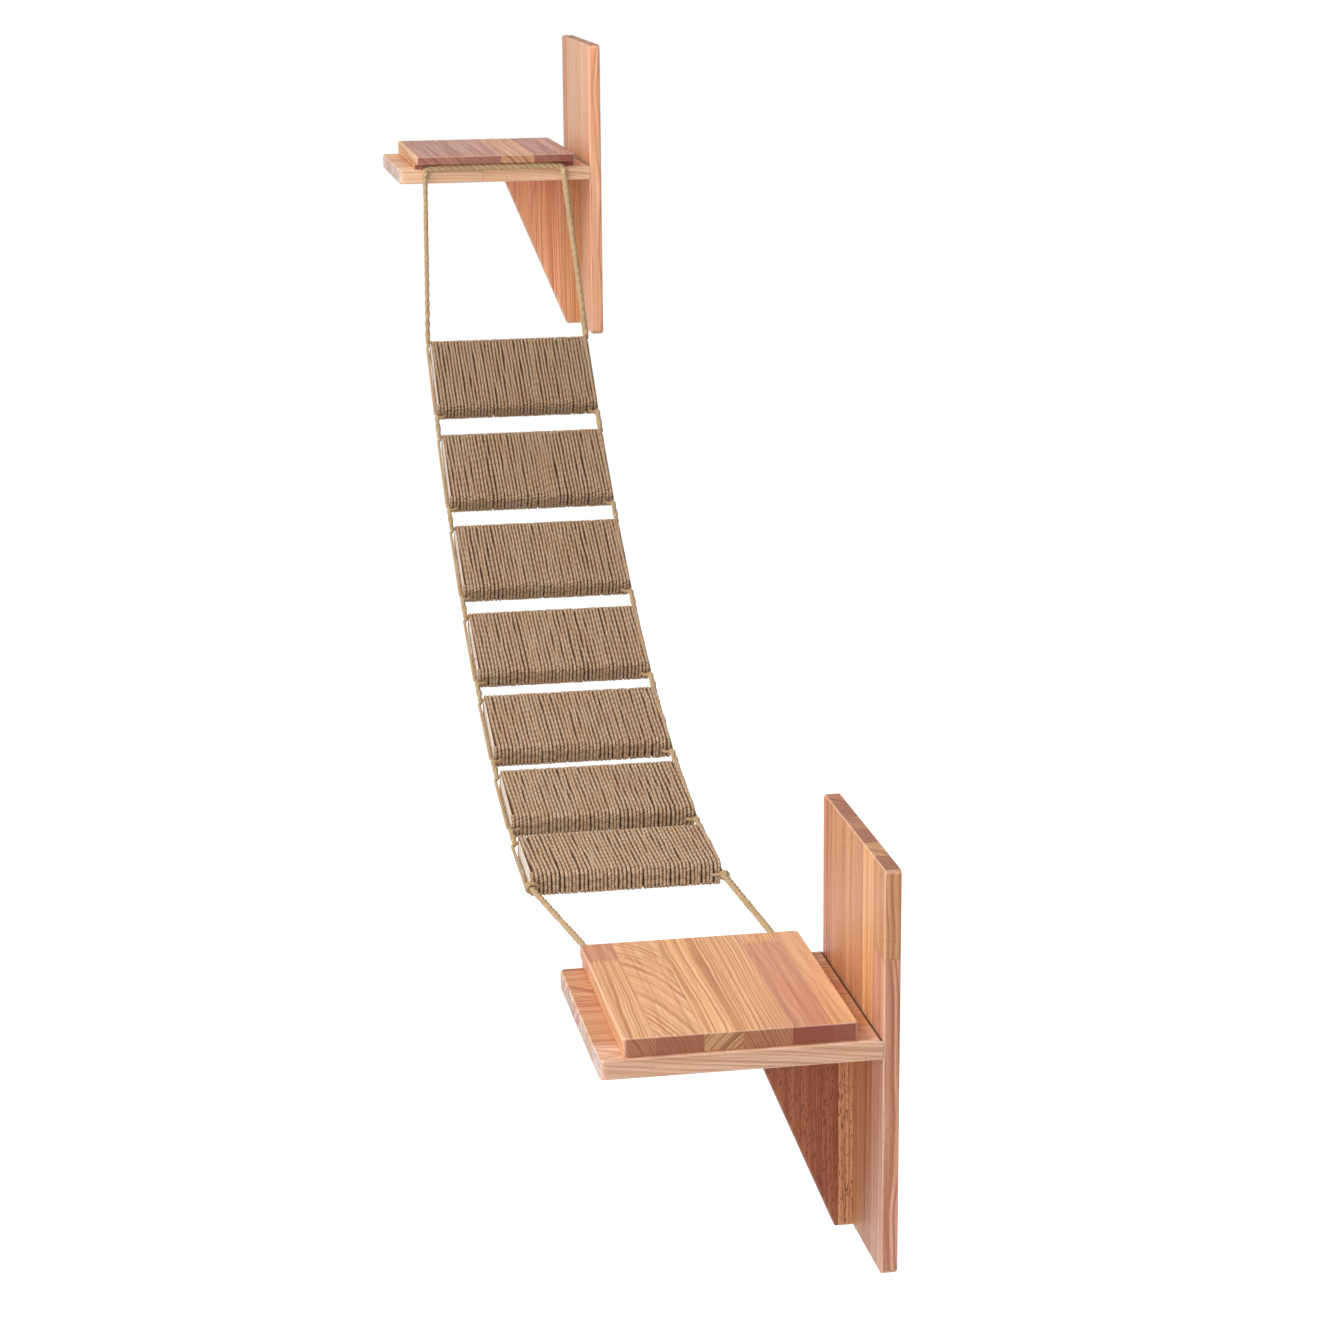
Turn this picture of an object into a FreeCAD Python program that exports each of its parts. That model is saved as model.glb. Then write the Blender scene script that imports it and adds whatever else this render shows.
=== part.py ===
import FreeCAD
import Part
import Sketcher
import math
import os

# Cat wall stairs: two wooden wall shelves joined by a hanging rope ladder of twine-wound slats.
# Frame: millimetres, +Z up. The wall is the plane y = 0 and the object stands out towards -Y.
# The origin lies on the wall, midway between the lower shelf's two hanger holes; the ladder
# climbs from the lower shelf towards -X. "Left" is the side away from the wall, "right" the wall side.

Vector = FreeCAD.Vector
Rotation = FreeCAD.Rotation
Placement = FreeCAD.Placement

doc = FreeCAD.newDocument("CatWallStairs")

# Driving dimensions, in millimetres unless the name says otherwise
DIMENSIONS = [
    # The two shelves
    ("shelf_width", 230),
    ("shelf_depth", 245),
    ("shelf_thickness", 18),
    ("back_height", 370),
    ("back_thickness", 15),
    ("shelf_drop", 152),
    ("hanger_drop", 40),
    ("board_corner", 6),
    ("edge_ease", 2),
    ("upper_shelf_run", 1569),
    ("upper_shelf_rise", 594),
    # Support bracket under each shelf
    ("bracket_reach", 100),
    ("bracket_toe", 16),
    ("bracket_thickness", 18),
    # Tread board, which overhangs the shelf on the ladder's side and has a rope rabbet under that edge
    ("tread_length", 240),
    ("tread_depth", 204),
    ("tread_thickness", 17),
    ("tread_corner", 5),
    ("tread_overhang", 13.5),
    ("rabbet_depth", 16),
    ("tread_screw_length", 25),
    ("tread_screw_span_x", 150),
    ("tread_screw_span_y", 130),
    # Wood screws
    ("screw_diameter", 4),
    ("screw_length", 42),
    ("screw_head_diameter", 8),
    ("screw_head_height", 2.8),
    ("screw_head_rim", 1),
    ("screw_head_top", 4.8),
    ("screw_sink", 4),
    ("pilot_room", 1),
    ("fit_clearance", 0.05),
    ("head_clearance", 0.2),
    ("drive_depth", 1.2),
    ("drive_slot", 0.8),
    ("shelf_screw_span", 170),
    ("bracket_screw_first", 45),
    ("bracket_screw_second", 125),
    ("bracket_top_screw_margin", 6),
    ("bracket_top_screw_pitch", 36),
    # Keyhole hangers let into the rear of each back board
    ("hanger_span", 150),
    ("hanger_width", 20),
    ("hanger_above", 32),
    ("hanger_below", 20),
    ("hanger_thickness", 2),
    ("hanger_clearance", 0.2),
    ("keyhole_entry_radius", 5),
    ("keyhole_slot_radius", 2.5),
    ("keyhole_slot_rise", 11),
    ("head_room_radius", 6.5),
    ("head_room_depth", 5),
    ("hanger_screw_diameter", 3),
    ("hanger_screw_length", 10),
    ("hanger_screw_head_diameter", 5.8),
    ("hanger_screw_above", 25),
    ("hanger_screw_below", 13),
    # Ladder slats; slopes are fall over run, and they flatten by a steady step down the ladder
    ("slat_length", 193),
    ("slat_width", 100),
    ("slat_thickness", 17.5),
    ("slat_corner", 3),
    ("slat_end_ease", 0.8),
    ("slat_gap", 46.5),
    ("first_slat_slope", 0.9325),
    ("slat_slope_step", 0.1407),
    ("ladder_from_wall", 145),
    # Twine wound round each slat
    ("twine_diameter", 3.4),
    ("twine_clearance", 0.2),
    ("winding_margin", 3.3),
    ("winding_tail", 12),
    # Two-strand ropes
    ("strand_diameter", 3.2),
    ("strand_gap", 0.3),
    ("strand_bore_clearance", 0.4),
    ("strand_lead", 6),
    ("strand_join", 9),
    ("strand_stand_off", 5.2),
    ("rope_stand_off", 2.8),
    ("rope_diameter", 6.4),
    ("rope_clearance", 0.3),
    ("rope_top_run", 259),
    ("rope_top_angle_deg", 53.7),
    ("rope_anchor_span", 172),
    ("rope_corner_radius", 7),
    ("rope_stub", 16),
    ("knot_wrap_diameter", 4.4),
    ("knot_clearance", 0.4),
    ("knot_from_slat", 13),
]
SLAT_COUNT = 7
WINDING_LOOPS = 24

sheet = doc.addObject("Spreadsheet::Sheet", "Dimensions")
for row, (alias, number) in enumerate(DIMENSIONS, start=1):
    sheet.set("A%d" % row, alias)
    sheet.set("B%d" % row, str(number))
    sheet.setAlias("B%d" % row, alias)
doc.recompute()

nodes = []


def size(alias):
    """A driving dimension as a number."""
    return float(sheet.get(alias))


def add_node(document_object, label):
    """Name a finished sub-part and note it for export."""
    document_object.Label = label
    nodes.append(document_object)
    return document_object


def place(document_object, x="0", y="0", z="0"):
    """Bind a sub-part's place to expressions of the sheet."""
    document_object.setExpression("Placement.Base.x", x)
    document_object.setExpression("Placement.Base.y", y)
    document_object.setExpression("Placement.Base.z", z)


# Sketch and feature helpers


def origin_plane(body, role):
    return next(item for item in body.Origin.OriginFeatures if item.Role == role)


def new_sketch(body, role, name):
    sketch = body.newObject("Sketcher::SketchObject", name)
    sketch.AttachmentSupport = (origin_plane(body, role), [""])
    sketch.MapMode = "FlatFace"
    return sketch


def bound(sketch, kind, geometry, point, expression):
    """Hold a sketch point at a signed distance from the sketch origin."""
    number = float(sketch.evalExpression(expression))
    index = sketch.addConstraint(Sketcher.Constraint(kind, -1, 1, geometry, point, number))
    sketch.setExpression("Constraints[%d]" % index, expression)


def add_polygon(sketch, corners):
    """Closed outline through corners given as pairs of expressions."""
    points = [Vector(float(sketch.evalExpression(x)), float(sketch.evalExpression(y)), 0)
              for x, y in corners]
    first = sketch.GeometryCount
    count = len(points)
    for index in range(count):
        sketch.addGeometry(Part.LineSegment(points[index], points[(index + 1) % count]), False)
    for index in range(count):
        following = (index + 1) % count
        sketch.addConstraint(Sketcher.Constraint("Coincident", first + index, 2, first + following, 1))
    for index, (x, y) in enumerate(corners):
        bound(sketch, "DistanceX", first + index, 1, x)
        bound(sketch, "DistanceY", first + index, 1, y)


def add_rectangle(sketch, left, right, bottom, top):
    add_polygon(sketch, [(left, bottom), (right, bottom), (right, top), (left, top)])


def add_circle(sketch, x, y, radius):
    centre = Vector(float(sketch.evalExpression(x)), float(sketch.evalExpression(y)), 0)
    start = float(sketch.evalExpression(radius))
    index = sketch.addGeometry(Part.Circle(centre, Vector(0, 0, 1), start), False)
    bound(sketch, "DistanceX", index, 3, x)
    bound(sketch, "DistanceY", index, 3, y)
    constraint = sketch.addConstraint(Sketcher.Constraint("Radius", index, start))
    sketch.setExpression("Constraints[%d]" % constraint, radius)


def pad(body, sketch, length, middle=False):
    feature = body.newObject("PartDesign::Pad", sketch.Name + "Pad")
    feature.Profile = sketch
    feature.setExpression("Length", length)
    feature.Midplane = middle
    sketch.Visibility = False
    doc.recompute()
    return feature


def pocket(body, sketch, depth=None, reverse=False):
    """Cut a sketch into the body, to a depth or right through both ways, and test that it cut."""
    before = body.Shape.Volume
    feature = body.newObject("PartDesign::Pocket", sketch.Name + "Pocket")
    feature.Profile = sketch
    if depth is None:
        feature.Type = "ThroughAll"
        feature.Midplane = True
    else:
        feature.setExpression("Length", depth)
        feature.Reversed = reverse
    sketch.Visibility = False
    doc.recompute()
    if not body.Shape.Volume < before:
        raise RuntimeError(body.Label + ": " + sketch.Name + " cut nothing")
    return feature


def fillet(body, base, radius, wanted):
    """Round the edges of a feature that the test picks out."""
    names = ["Edge%d" % (index + 1) for index, edge in enumerate(base.Shape.Edges) if wanted(edge)]
    feature = body.newObject("PartDesign::Fillet", base.Name + "Round")
    feature.Base = (base, names)
    feature.setExpression("Radius", radius)
    doc.recompute()
    return feature


def same(a, b):
    return abs(a - b) < 1e-4


def runs_along(edge, axis):
    """True for a straight edge along the named axis."""
    if len(edge.Vertexes) != 2 or not isinstance(edge.Curve, Part.Line):
        return False
    direction = edge.Curve.Direction
    return same(abs(getattr(direction, axis)), 1)


def lies_at(edge, axis, number):
    """True where the whole edge lies at one coordinate."""
    box = edge.BoundBox
    return same(getattr(box, axis + "Min"), number) and same(getattr(box, axis + "Max"), number)


def new_body(name):
    return doc.addObject("PartDesign::Body", name)


# Expressions shared by pieces that meet
D = "Dimensions."
SHELF_TOP = "(%shanger_drop - %sshelf_drop)" % (D, D)
SHELF_UNDERSIDE = "(%s - %sshelf_thickness)" % (SHELF_TOP, D)
BACK_BOTTOM = "(%shanger_drop - %sback_height)" % (D, D)
TREAD_MIDDLE_Y = "(-%sback_thickness - %sshelf_depth / 2)" % (D, D)
TREAD_SHIFT = "(%sshelf_width / 2 + %stread_overhang - %stread_length / 2)" % (D, D, D)
RABBET_HEIGHT = "(%srope_diameter + 2 * %srope_clearance)" % (D, D)
SCREW_HOLE = "(%sscrew_diameter / 2 + %sfit_clearance)" % (D, D)
SCREW_HEAD_HOLE = "(%sscrew_head_diameter / 2 + %shead_clearance)" % (D, D)
SCREW_IN_SHELF = "(%sscrew_sink + %sscrew_length - %sback_thickness + %spilot_room)" % (D, D, D, D)
SCREW_IN_BRACKET = "(%sscrew_sink + %sscrew_length - %sshelf_thickness + %spilot_room)" % (D, D, D, D)
SHELF_SCREW_Z = "(%s / 2 + %s / 2)" % (SHELF_TOP, SHELF_UNDERSIDE)
SHELF_SCREW_X = ["(%d * %sshelf_screw_span / 2)" % (side, D) for side in (-1, 0, 1)]
BRACKET_SCREW_Z = ["(%s - %sbracket_screw_%s)" % (SHELF_UNDERSIDE, D, which)
                   for which in ("first", "second")]
BRACKET_TOP_SCREW_Y = ["(-1 * %s - %sbracket_top_screw_margin - %d * %sbracket_top_screw_pitch)"
                       % (SCREW_IN_SHELF, D, place_index, D) for place_index in (0, 1)]
SCREW_IN_TREAD = "(%sscrew_sink + %stread_screw_length - %sshelf_thickness + %spilot_room)" % (D, D, D, D)
TREAD_SCREW_PLACES = [("(%d * %stread_screw_span_x / 2)" % (i, D), "(%d * %stread_screw_span_y / 2)" % (j, D))
                      for i in (-1, 1) for j in (-1, 1)]
HANGER_X = ["(%d * %shanger_span / 2)" % (side, D) for side in (-1, 1)]
HANGER_SCREW_Z = ["%shanger_screw_above" % D, "(-%shanger_screw_below)" % D]
UNITS = {
    "lower": ("0", "0"),
    "upper": ("(-%supper_shelf_run)" % D, "%supper_shelf_rise" % D),
}
# The side of each shelf that the ladder leaves from, along X
LADDER_SIDE = {"lower": -1, "upper": 1}


def half(alias):
    return "(%s%s / 2)" % (D, alias)


def minus(expression):
    return "(-1 * %s)" % expression


# Boards of one shelf


def eased_board(body, base, corner, corner_edges, axis, low, high):
    """Round the board's corners, then ease the outline of its two faces."""
    rounded = fillet(body, base, corner, corner_edges)
    return fillet(body, rounded, D + "edge_ease",
                  lambda edge: lies_at(edge, axis, low) or lies_at(edge, axis, high))


def build_back_board(unit, x, z):
    body = new_body(unit + "_back_board_body")
    face = new_sketch(body, "XZ_Plane", unit + "BackFace")
    add_rectangle(face, minus(half("shelf_width")), half("shelf_width"), BACK_BOTTOM, D + "hanger_drop")
    plate = pad(body, face, D + "back_thickness")
    eased_board(body, plate, D + "board_corner", lambda edge: runs_along(edge, "y"),
                "Y", -size("back_thickness"), 0)
    recess = new_sketch(body, "XZ_Plane", unit + "HangerRecess")
    for hanger_x in HANGER_X:
        margin = "(%shanger_width / 2 + %shanger_clearance)" % (D, D)
        add_rectangle(recess, "%s - %s" % (hanger_x, margin), "%s + %s" % (hanger_x, margin),
                      "-%shanger_below - %shanger_clearance" % (D, D),
                      "%shanger_above + %shanger_clearance" % (D, D))
    pocket(body, recess, D + "hanger_thickness", True)
    head_room = new_sketch(body, "XZ_Plane", unit + "HeadRoom")
    for hanger_x in HANGER_X:
        add_rectangle(head_room, "%s - %shead_room_radius" % (hanger_x, D),
                      "%s + %shead_room_radius" % (hanger_x, D),
                      "-%shead_room_radius" % D, "%skeyhole_slot_rise + %shead_room_radius" % (D, D))
    pocket(body, head_room, "%shanger_thickness + %shead_room_depth" % (D, D), True)
    pilots = new_sketch(body, "XZ_Plane", unit + "HangerPilots")
    for hanger_x in HANGER_X:
        for screw_z in HANGER_SCREW_Z:
            add_circle(pilots, hanger_x, screw_z,
                       "%shanger_screw_diameter / 2 + %sfit_clearance" % (D, D))
    pocket(body, pilots, "%shanger_screw_length + %spilot_room" % (D, D), True)
    holes = new_sketch(body, "XZ_Plane", unit + "BackScrewHoles")
    sinks = new_sketch(body, "XZ_Plane", unit + "BackScrewSinks")
    places = [(screw_x, SHELF_SCREW_Z) for screw_x in SHELF_SCREW_X]
    places += [("0", screw_z) for screw_z in BRACKET_SCREW_Z]
    for screw_x, screw_z in places:
        add_circle(holes, screw_x, screw_z, SCREW_HOLE)
        add_circle(sinks, screw_x, screw_z, SCREW_HEAD_HOLE)
    pocket(body, holes)
    pocket(body, sinks, D + "screw_sink", True)
    place(body, x, "0", z)
    return add_node(body, unit + "_back_board")


def build_shelf_board(unit, x, z):
    body = new_body(unit + "_shelf_board_body")
    plan = new_sketch(body, "XY_Plane", unit + "ShelfPlan")
    add_rectangle(plan, minus(half("shelf_width")), half("shelf_width"), "-%sshelf_depth" % D, "0")
    board = pad(body, plan, D + "shelf_thickness")
    front = -size("shelf_depth")
    eased_board(body, board, D + "board_corner",
                lambda edge: runs_along(edge, "z") and lies_at(edge, "Y", front),
                "Z", 0, size("shelf_thickness"))
    rear_pilots = new_sketch(body, "XZ_Plane", unit + "ShelfRearPilots")
    for screw_x in SHELF_SCREW_X:
        add_circle(rear_pilots, screw_x, half("shelf_thickness"), SCREW_HOLE)
    pocket(body, rear_pilots, SCREW_IN_SHELF, True)
    through = new_sketch(body, "XY_Plane", unit + "ShelfScrewHoles")
    for screw_y in BRACKET_TOP_SCREW_Y:
        add_circle(through, "0", screw_y, SCREW_HOLE)
    pocket(body, through)
    sinks = new_sketch(body, "XY_Plane", unit + "ShelfTopCuts")
    sinks.setExpression("AttachmentOffset.Base.z", D + "shelf_thickness")
    for screw_y in BRACKET_TOP_SCREW_Y:
        add_circle(sinks, "0", screw_y, SCREW_HEAD_HOLE)
    doc.recompute()
    pocket(body, sinks, D + "screw_sink")
    tread_holes = new_sketch(body, "XY_Plane", unit + "ShelfTreadHoles")
    tread_sinks = new_sketch(body, "XY_Plane", unit + "ShelfTreadSinks")
    for screw_x, screw_y in TREAD_SCREW_PLACES:
        add_circle(tread_holes, screw_x, "%s - %sshelf_depth / 2" % (screw_y, D), SCREW_HOLE)
        add_circle(tread_sinks, screw_x, "%s - %sshelf_depth / 2" % (screw_y, D), SCREW_HEAD_HOLE)
    pocket(body, tread_holes)
    pocket(body, tread_sinks, D + "screw_sink", True)
    place(body, x, "-%sback_thickness" % D, "%s + %s" % (z, SHELF_UNDERSIDE))
    return add_node(body, unit + "_shelf_board")


def build_bracket(unit, x, z):
    body = new_body(unit + "_bracket_body")
    side = new_sketch(body, "YZ_Plane", unit + "BracketSide")
    drop = "(%s - %s)" % (BACK_BOTTOM, SHELF_UNDERSIDE)
    add_polygon(side, [("0", "0"), ("-%sbracket_reach" % D, "0"), ("-%sbracket_toe" % D, drop), ("0", drop)])
    web = pad(body, side, D + "bracket_thickness", True)
    outer = size("bracket_thickness") / 2
    fillet(body, web, D + "edge_ease",
           lambda edge: (lies_at(edge, "X", outer) or lies_at(edge, "X", -outer))
           and not lies_at(edge, "Y", 0) and not lies_at(edge, "Z", 0))
    rear_pilots = new_sketch(body, "XZ_Plane", unit + "BracketRearPilots")
    for which in ("first", "second"):
        add_circle(rear_pilots, "0", "-%sbracket_screw_%s" % (D, which), SCREW_HOLE)
    pocket(body, rear_pilots, SCREW_IN_SHELF, True)
    top_pilots = new_sketch(body, "XY_Plane", unit + "BracketTopPilots")
    for screw_y in BRACKET_TOP_SCREW_Y:
        add_circle(top_pilots, "0", screw_y, SCREW_HOLE)
    pocket(body, top_pilots, SCREW_IN_BRACKET)
    place(body, x, "-%sback_thickness" % D, "%s + %s" % (z, SHELF_UNDERSIDE))
    return add_node(body, unit + "_bracket")


def build_tread(unit, x, z):
    """Tread board on the shelf, with a rabbet for the rope under the edge on the ladder's side."""
    side = LADDER_SIDE[unit]
    body = new_body(unit + "_tread_body")
    plan = new_sketch(body, "XY_Plane", unit + "TreadPlan")
    add_rectangle(plan, minus(half("tread_length")), half("tread_length"),
                  minus(half("tread_depth")), half("tread_depth"))
    board = pad(body, plan, D + "tread_thickness")
    eased_board(body, board, D + "tread_corner", lambda edge: runs_along(edge, "z"),
                "Z", 0, size("tread_thickness"))
    rabbet = new_sketch(body, "XZ_Plane", unit + "TreadRabbet")
    inner = "%d * (%stread_length / 2 - %srabbet_depth)" % (side, D, D)
    outer = "%d * (%stread_length / 2 + %srope_clearance)" % (side, D, D)
    add_rectangle(rabbet, inner, outer, "-%srope_clearance" % D, RABBET_HEIGHT)
    pocket(body, rabbet)
    pilots = new_sketch(body, "XY_Plane", unit + "TreadPilots")
    for screw_x, screw_y in TREAD_SCREW_PLACES:
        add_circle(pilots, "%s - %d * %s" % (screw_x, side, TREAD_SHIFT), screw_y, SCREW_HOLE)
    pocket(body, pilots, SCREW_IN_TREAD, True)
    place(body, "%s + %d * %s" % (x, side, TREAD_SHIFT), TREAD_MIDDLE_Y, "%s + %s" % (z, SHELF_TOP))
    return add_node(body, unit + "_tread")


def build_hangers(unit, x, z):
    """Two keyhole plates: a round entry for a screw head with a narrow slot above it."""
    body = new_body(unit + "_hangers_body")
    body.AllowCompound = True
    face = new_sketch(body, "XZ_Plane", unit + "HangerFace")
    entry = new_sketch(body, "XZ_Plane", unit + "HangerEntry")
    slot = new_sketch(body, "XZ_Plane", unit + "HangerSlot")
    screw_holes = new_sketch(body, "XZ_Plane", unit + "HangerScrewHoles")
    for hanger_x in HANGER_X:
        add_rectangle(face, "%s - %s" % (hanger_x, half("hanger_width")),
                      "%s + %s" % (hanger_x, half("hanger_width")),
                      "-%shanger_below" % D, "%shanger_above" % D)
        add_circle(entry, hanger_x, "0", D + "keyhole_entry_radius")
        add_rectangle(slot, "%s - %skeyhole_slot_radius" % (hanger_x, D),
                      "%s + %skeyhole_slot_radius" % (hanger_x, D), "0", D + "keyhole_slot_rise")
        for screw_z in HANGER_SCREW_Z:
            add_circle(screw_holes, hanger_x, screw_z,
                       "%shanger_screw_diameter / 2 + %sfit_clearance" % (D, D))
    pad(body, face, D + "hanger_thickness")
    for cut in (entry, slot):
        pocket(body, cut)
    slot_end = new_sketch(body, "XZ_Plane", unit + "HangerSlotEnd")
    for hanger_x in HANGER_X:
        add_circle(slot_end, hanger_x, D + "keyhole_slot_rise", D + "keyhole_slot_radius")
    pocket(body, slot_end)
    drilled = pocket(body, screw_holes)
    hole_radius = size("hanger_screw_diameter") / 2 + size("fit_clearance")
    rims = ["Edge%d" % (index + 1) for index, edge in enumerate(drilled.Shape.Edges)
            if isinstance(edge.Curve, Part.Circle) and same(edge.Curve.Radius, hole_radius)
            and lies_at(edge, "Y", 0)]
    sinks = body.newObject("PartDesign::Chamfer", unit + "HangerSinks")
    sinks.Base = (drilled, rims)
    sinks.setExpression("Size", "(%shanger_screw_head_diameter - %shanger_screw_diameter) / 2" % (D, D))
    doc.recompute()
    place(body, x, "0", z)
    return add_node(body, unit + "_hangers")


# Groups of identical fasteners, each one node of separate solids


def cross_drive(head_top, width):
    """Two crossed slots for the head of a screw that points along +Z."""
    depth = size("drive_depth")
    thin = size("drive_slot")
    first = Part.makeBox(width, thin, depth, Vector(-width / 2, -thin / 2, head_top))
    second = Part.makeBox(thin, width, depth, Vector(-thin / 2, -width / 2, head_top))
    return first.fuse(second)


def turned(outline):
    """Solid of revolution about Z from a half outline whose first and last points lie on Z."""
    sides = [Part.LineSegment(start, end).toShape() for start, end in zip(outline, outline[1:] + outline[:1])]
    return Part.Face(Part.Wire(sides)).revolve(Vector(0, 0, 0), Vector(0, 0, 1), 360)


def wood_screw_shape(length):
    """A wood screw with a coned head, head seat at z = 0 and point along +Z."""
    radius = size("screw_diameter") / 2
    head_radius = size("screw_head_diameter") / 2
    head_top = -size("screw_head_height")
    top_radius = size("screw_head_top") / 2
    outline = [Vector(0, 0, length), Vector(radius, 0, length - 2 * radius), Vector(radius, 0, 0),
               Vector(head_radius, 0, 0), Vector(head_radius, 0, -size("screw_head_rim")),
               Vector(top_radius, 0, head_top), Vector(0, 0, head_top)]
    return turned(outline).cut(cross_drive(head_top, head_radius))


def hanger_screw_shape():
    """A small screw with a flat countersunk head, its face at z = 0 and point along +Z."""
    length = size("hanger_screw_length")
    radius = size("hanger_screw_diameter") / 2
    head_radius = size("hanger_screw_head_diameter") / 2 - size("fit_clearance")
    outline = [Vector(0, 0, length), Vector(radius, 0, length - 2 * radius),
               Vector(radius, 0, head_radius - radius), Vector(head_radius, 0, 0), Vector(0, 0, 0)]
    return turned(outline).cut(cross_drive(0, head_radius))


def number(expression):
    return float(sheet.evalExpression(expression))


def build_group(unit, label, shape, places, direction):
    """Copies of one fastener, its axis turned to a direction, at places in the unit's own frame."""
    turn = Rotation(Vector(0, 0, 1), direction)
    copies = []
    for point in places:
        copy = shape.copy()
        copy.Placement = Placement(point, turn)
        copies.append(copy)
    feature = doc.addObject("Part::Feature", "%s_%s_group" % (unit, label))
    feature.Shape = Part.makeCompound(copies)
    x, z = UNITS[unit]
    place(feature, x, "0", z)
    return add_node(feature, "%s_%s" % (unit, label))


def build_fasteners(unit):
    wood_screw = wood_screw_shape(size("screw_length"))
    seat = -size("screw_sink")
    shelf_z = number(SHELF_SCREW_Z)
    into_wall_side = Vector(0, -1, 0)
    build_group(unit, "shelf_screws", wood_screw,
                [Vector(number(screw_x), seat, shelf_z) for screw_x in SHELF_SCREW_X], into_wall_side)
    build_group(unit, "bracket_back_screws", wood_screw,
                [Vector(0, seat, number(screw_z)) for screw_z in BRACKET_SCREW_Z], into_wall_side)
    top_seat = number(SHELF_TOP) - size("screw_sink")
    build_group(unit, "bracket_top_screws", wood_screw,
                [Vector(0, -size("back_thickness") + number(screw_y), top_seat)
                 for screw_y in BRACKET_TOP_SCREW_Y], Vector(0, 0, -1))
    middle = number(TREAD_MIDDLE_Y)
    low_seat = number(SHELF_UNDERSIDE) + size("screw_sink")
    build_group(unit, "tread_screws", wood_screw_shape(size("tread_screw_length")),
                [Vector(number(screw_x), middle + number(screw_y), low_seat)
                 for screw_x, screw_y in TREAD_SCREW_PLACES], Vector(0, 0, 1))
    build_group(unit, "hanger_screws", hanger_screw_shape(),
                [Vector(number(hanger_x), 0, number(screw_z))
                 for hanger_x in HANGER_X for screw_z in HANGER_SCREW_Z], into_wall_side)


for unit_name, (unit_x, unit_z) in UNITS.items():
    build_back_board(unit_name, unit_x, unit_z)
    build_shelf_board(unit_name, unit_x, unit_z)
    build_bracket(unit_name, unit_x, unit_z)
    build_tread(unit_name, unit_x, unit_z)
    build_hangers(unit_name, unit_x, unit_z)
    build_fasteners(unit_name)


# The ladder hangs in upright planes parallel to the wall, so its layout is worked out in X and Z.
# The lay line is the middle of the slats' thickness, which the ropes follow.

LADDER_Y = -size("ladder_from_wall")
BAR_X = (size("shelf_width") / 2 + size("tread_overhang") - size("rabbet_depth")
         + size("rope_clearance") + size("rope_diameter") / 2)
BAR_Z = number(SHELF_TOP) + size("rope_clearance") + size("rope_diameter") / 2
UPPER_CORNER = Vector(-size("upper_shelf_run") + BAR_X, 0, size("upper_shelf_rise") + BAR_Z)
LOWER_CORNER = Vector(-BAR_X, 0, BAR_Z)


def downhill(angle):
    """Unit vector that falls towards +X at an angle in radians."""
    return Vector(math.cos(angle), 0, -math.sin(angle))


TOP_DIRECTION = downhill(math.radians(size("rope_top_angle_deg")))


def ladder_layout():
    """Board edge where each slat starts, and the angle it lies at, from the top slat down."""
    angles = [math.atan(size("first_slat_slope") - size("slat_slope_step") * index)
              for index in range(SLAT_COUNT)]
    start = UPPER_CORNER + TOP_DIRECTION * size("rope_top_run")
    slats = []
    for index, angle in enumerate(angles):
        slats.append((start, angle))
        if index + 1 < SLAT_COUNT:
            between = downhill((angle + angles[index + 1]) / 2)
            start = start + downhill(angle) * size("slat_width") + between * size("slat_gap")
    return slats


SLATS = ladder_layout()
LAST_EDGE = SLATS[-1][0] + downhill(SLATS[-1][1]) * size("slat_width")
BOTTOM_DIRECTION = (LOWER_CORNER - LAST_EDGE).normalize()
UPPER_ANCHOR = UPPER_CORNER + TOP_DIRECTION * size("rope_stub")
LOWER_ANCHOR = LOWER_CORNER - BOTTOM_DIRECTION * size("rope_stub")

WINDING_PITCH = (size("slat_length") - 2 * size("winding_margin")) / (WINDING_LOOPS - 1)
BORE_INSET = size("winding_margin") + WINDING_PITCH / 2


def slat_placement(start, angle):
    """A slat's own frame: x down the slope, y along its length, z square to its face."""
    middle = start + downhill(angle) * (size("slat_width") / 2)
    middle.y = LADDER_Y
    return Placement(middle, Rotation(Vector(0, 1, 0), math.degrees(angle)))


def build_slat(index, start, angle):
    """A flat board with a bore for one rope strand near each end, edge to edge."""
    label = "slat_%d" % (index + 1)
    body = new_body(label + "_body")
    section = new_sketch(body, "XZ_Plane", label + "Section")
    add_rectangle(section, minus(half("slat_width")), half("slat_width"),
                  minus(half("slat_thickness")), half("slat_thickness"))
    board = pad(body, section, D + "slat_length", True)
    rounded = fillet(body, board, D + "slat_corner", lambda edge: runs_along(edge, "y"))
    end = size("slat_length") / 2
    fillet(body, rounded, D + "slat_end_ease",
           lambda edge: lies_at(edge, "Y", end) or lies_at(edge, "Y", -end))
    bores = new_sketch(body, "YZ_Plane", label + "Bores")
    pitch = "(%sslat_length - 2 * %swinding_margin) / %d" % (D, D, WINDING_LOOPS - 1)
    inset = "(%swinding_margin + %s / 2)" % (D, pitch)
    for side in (-1, 1):
        add_circle(bores, "%d * (%sslat_length / 2 - %s)" % (side, D, inset), "0",
                   "%sstrand_diameter / 2 + %sstrand_bore_clearance" % (D, D))
    pocket(body, bores)
    body.Placement = slat_placement(start, angle)
    return add_node(body, label + "_board")


# Tubes swept along straight runs and tangent arcs; an arc may use up to this share of its shorter run
ARC_SHARE = 0.45


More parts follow.
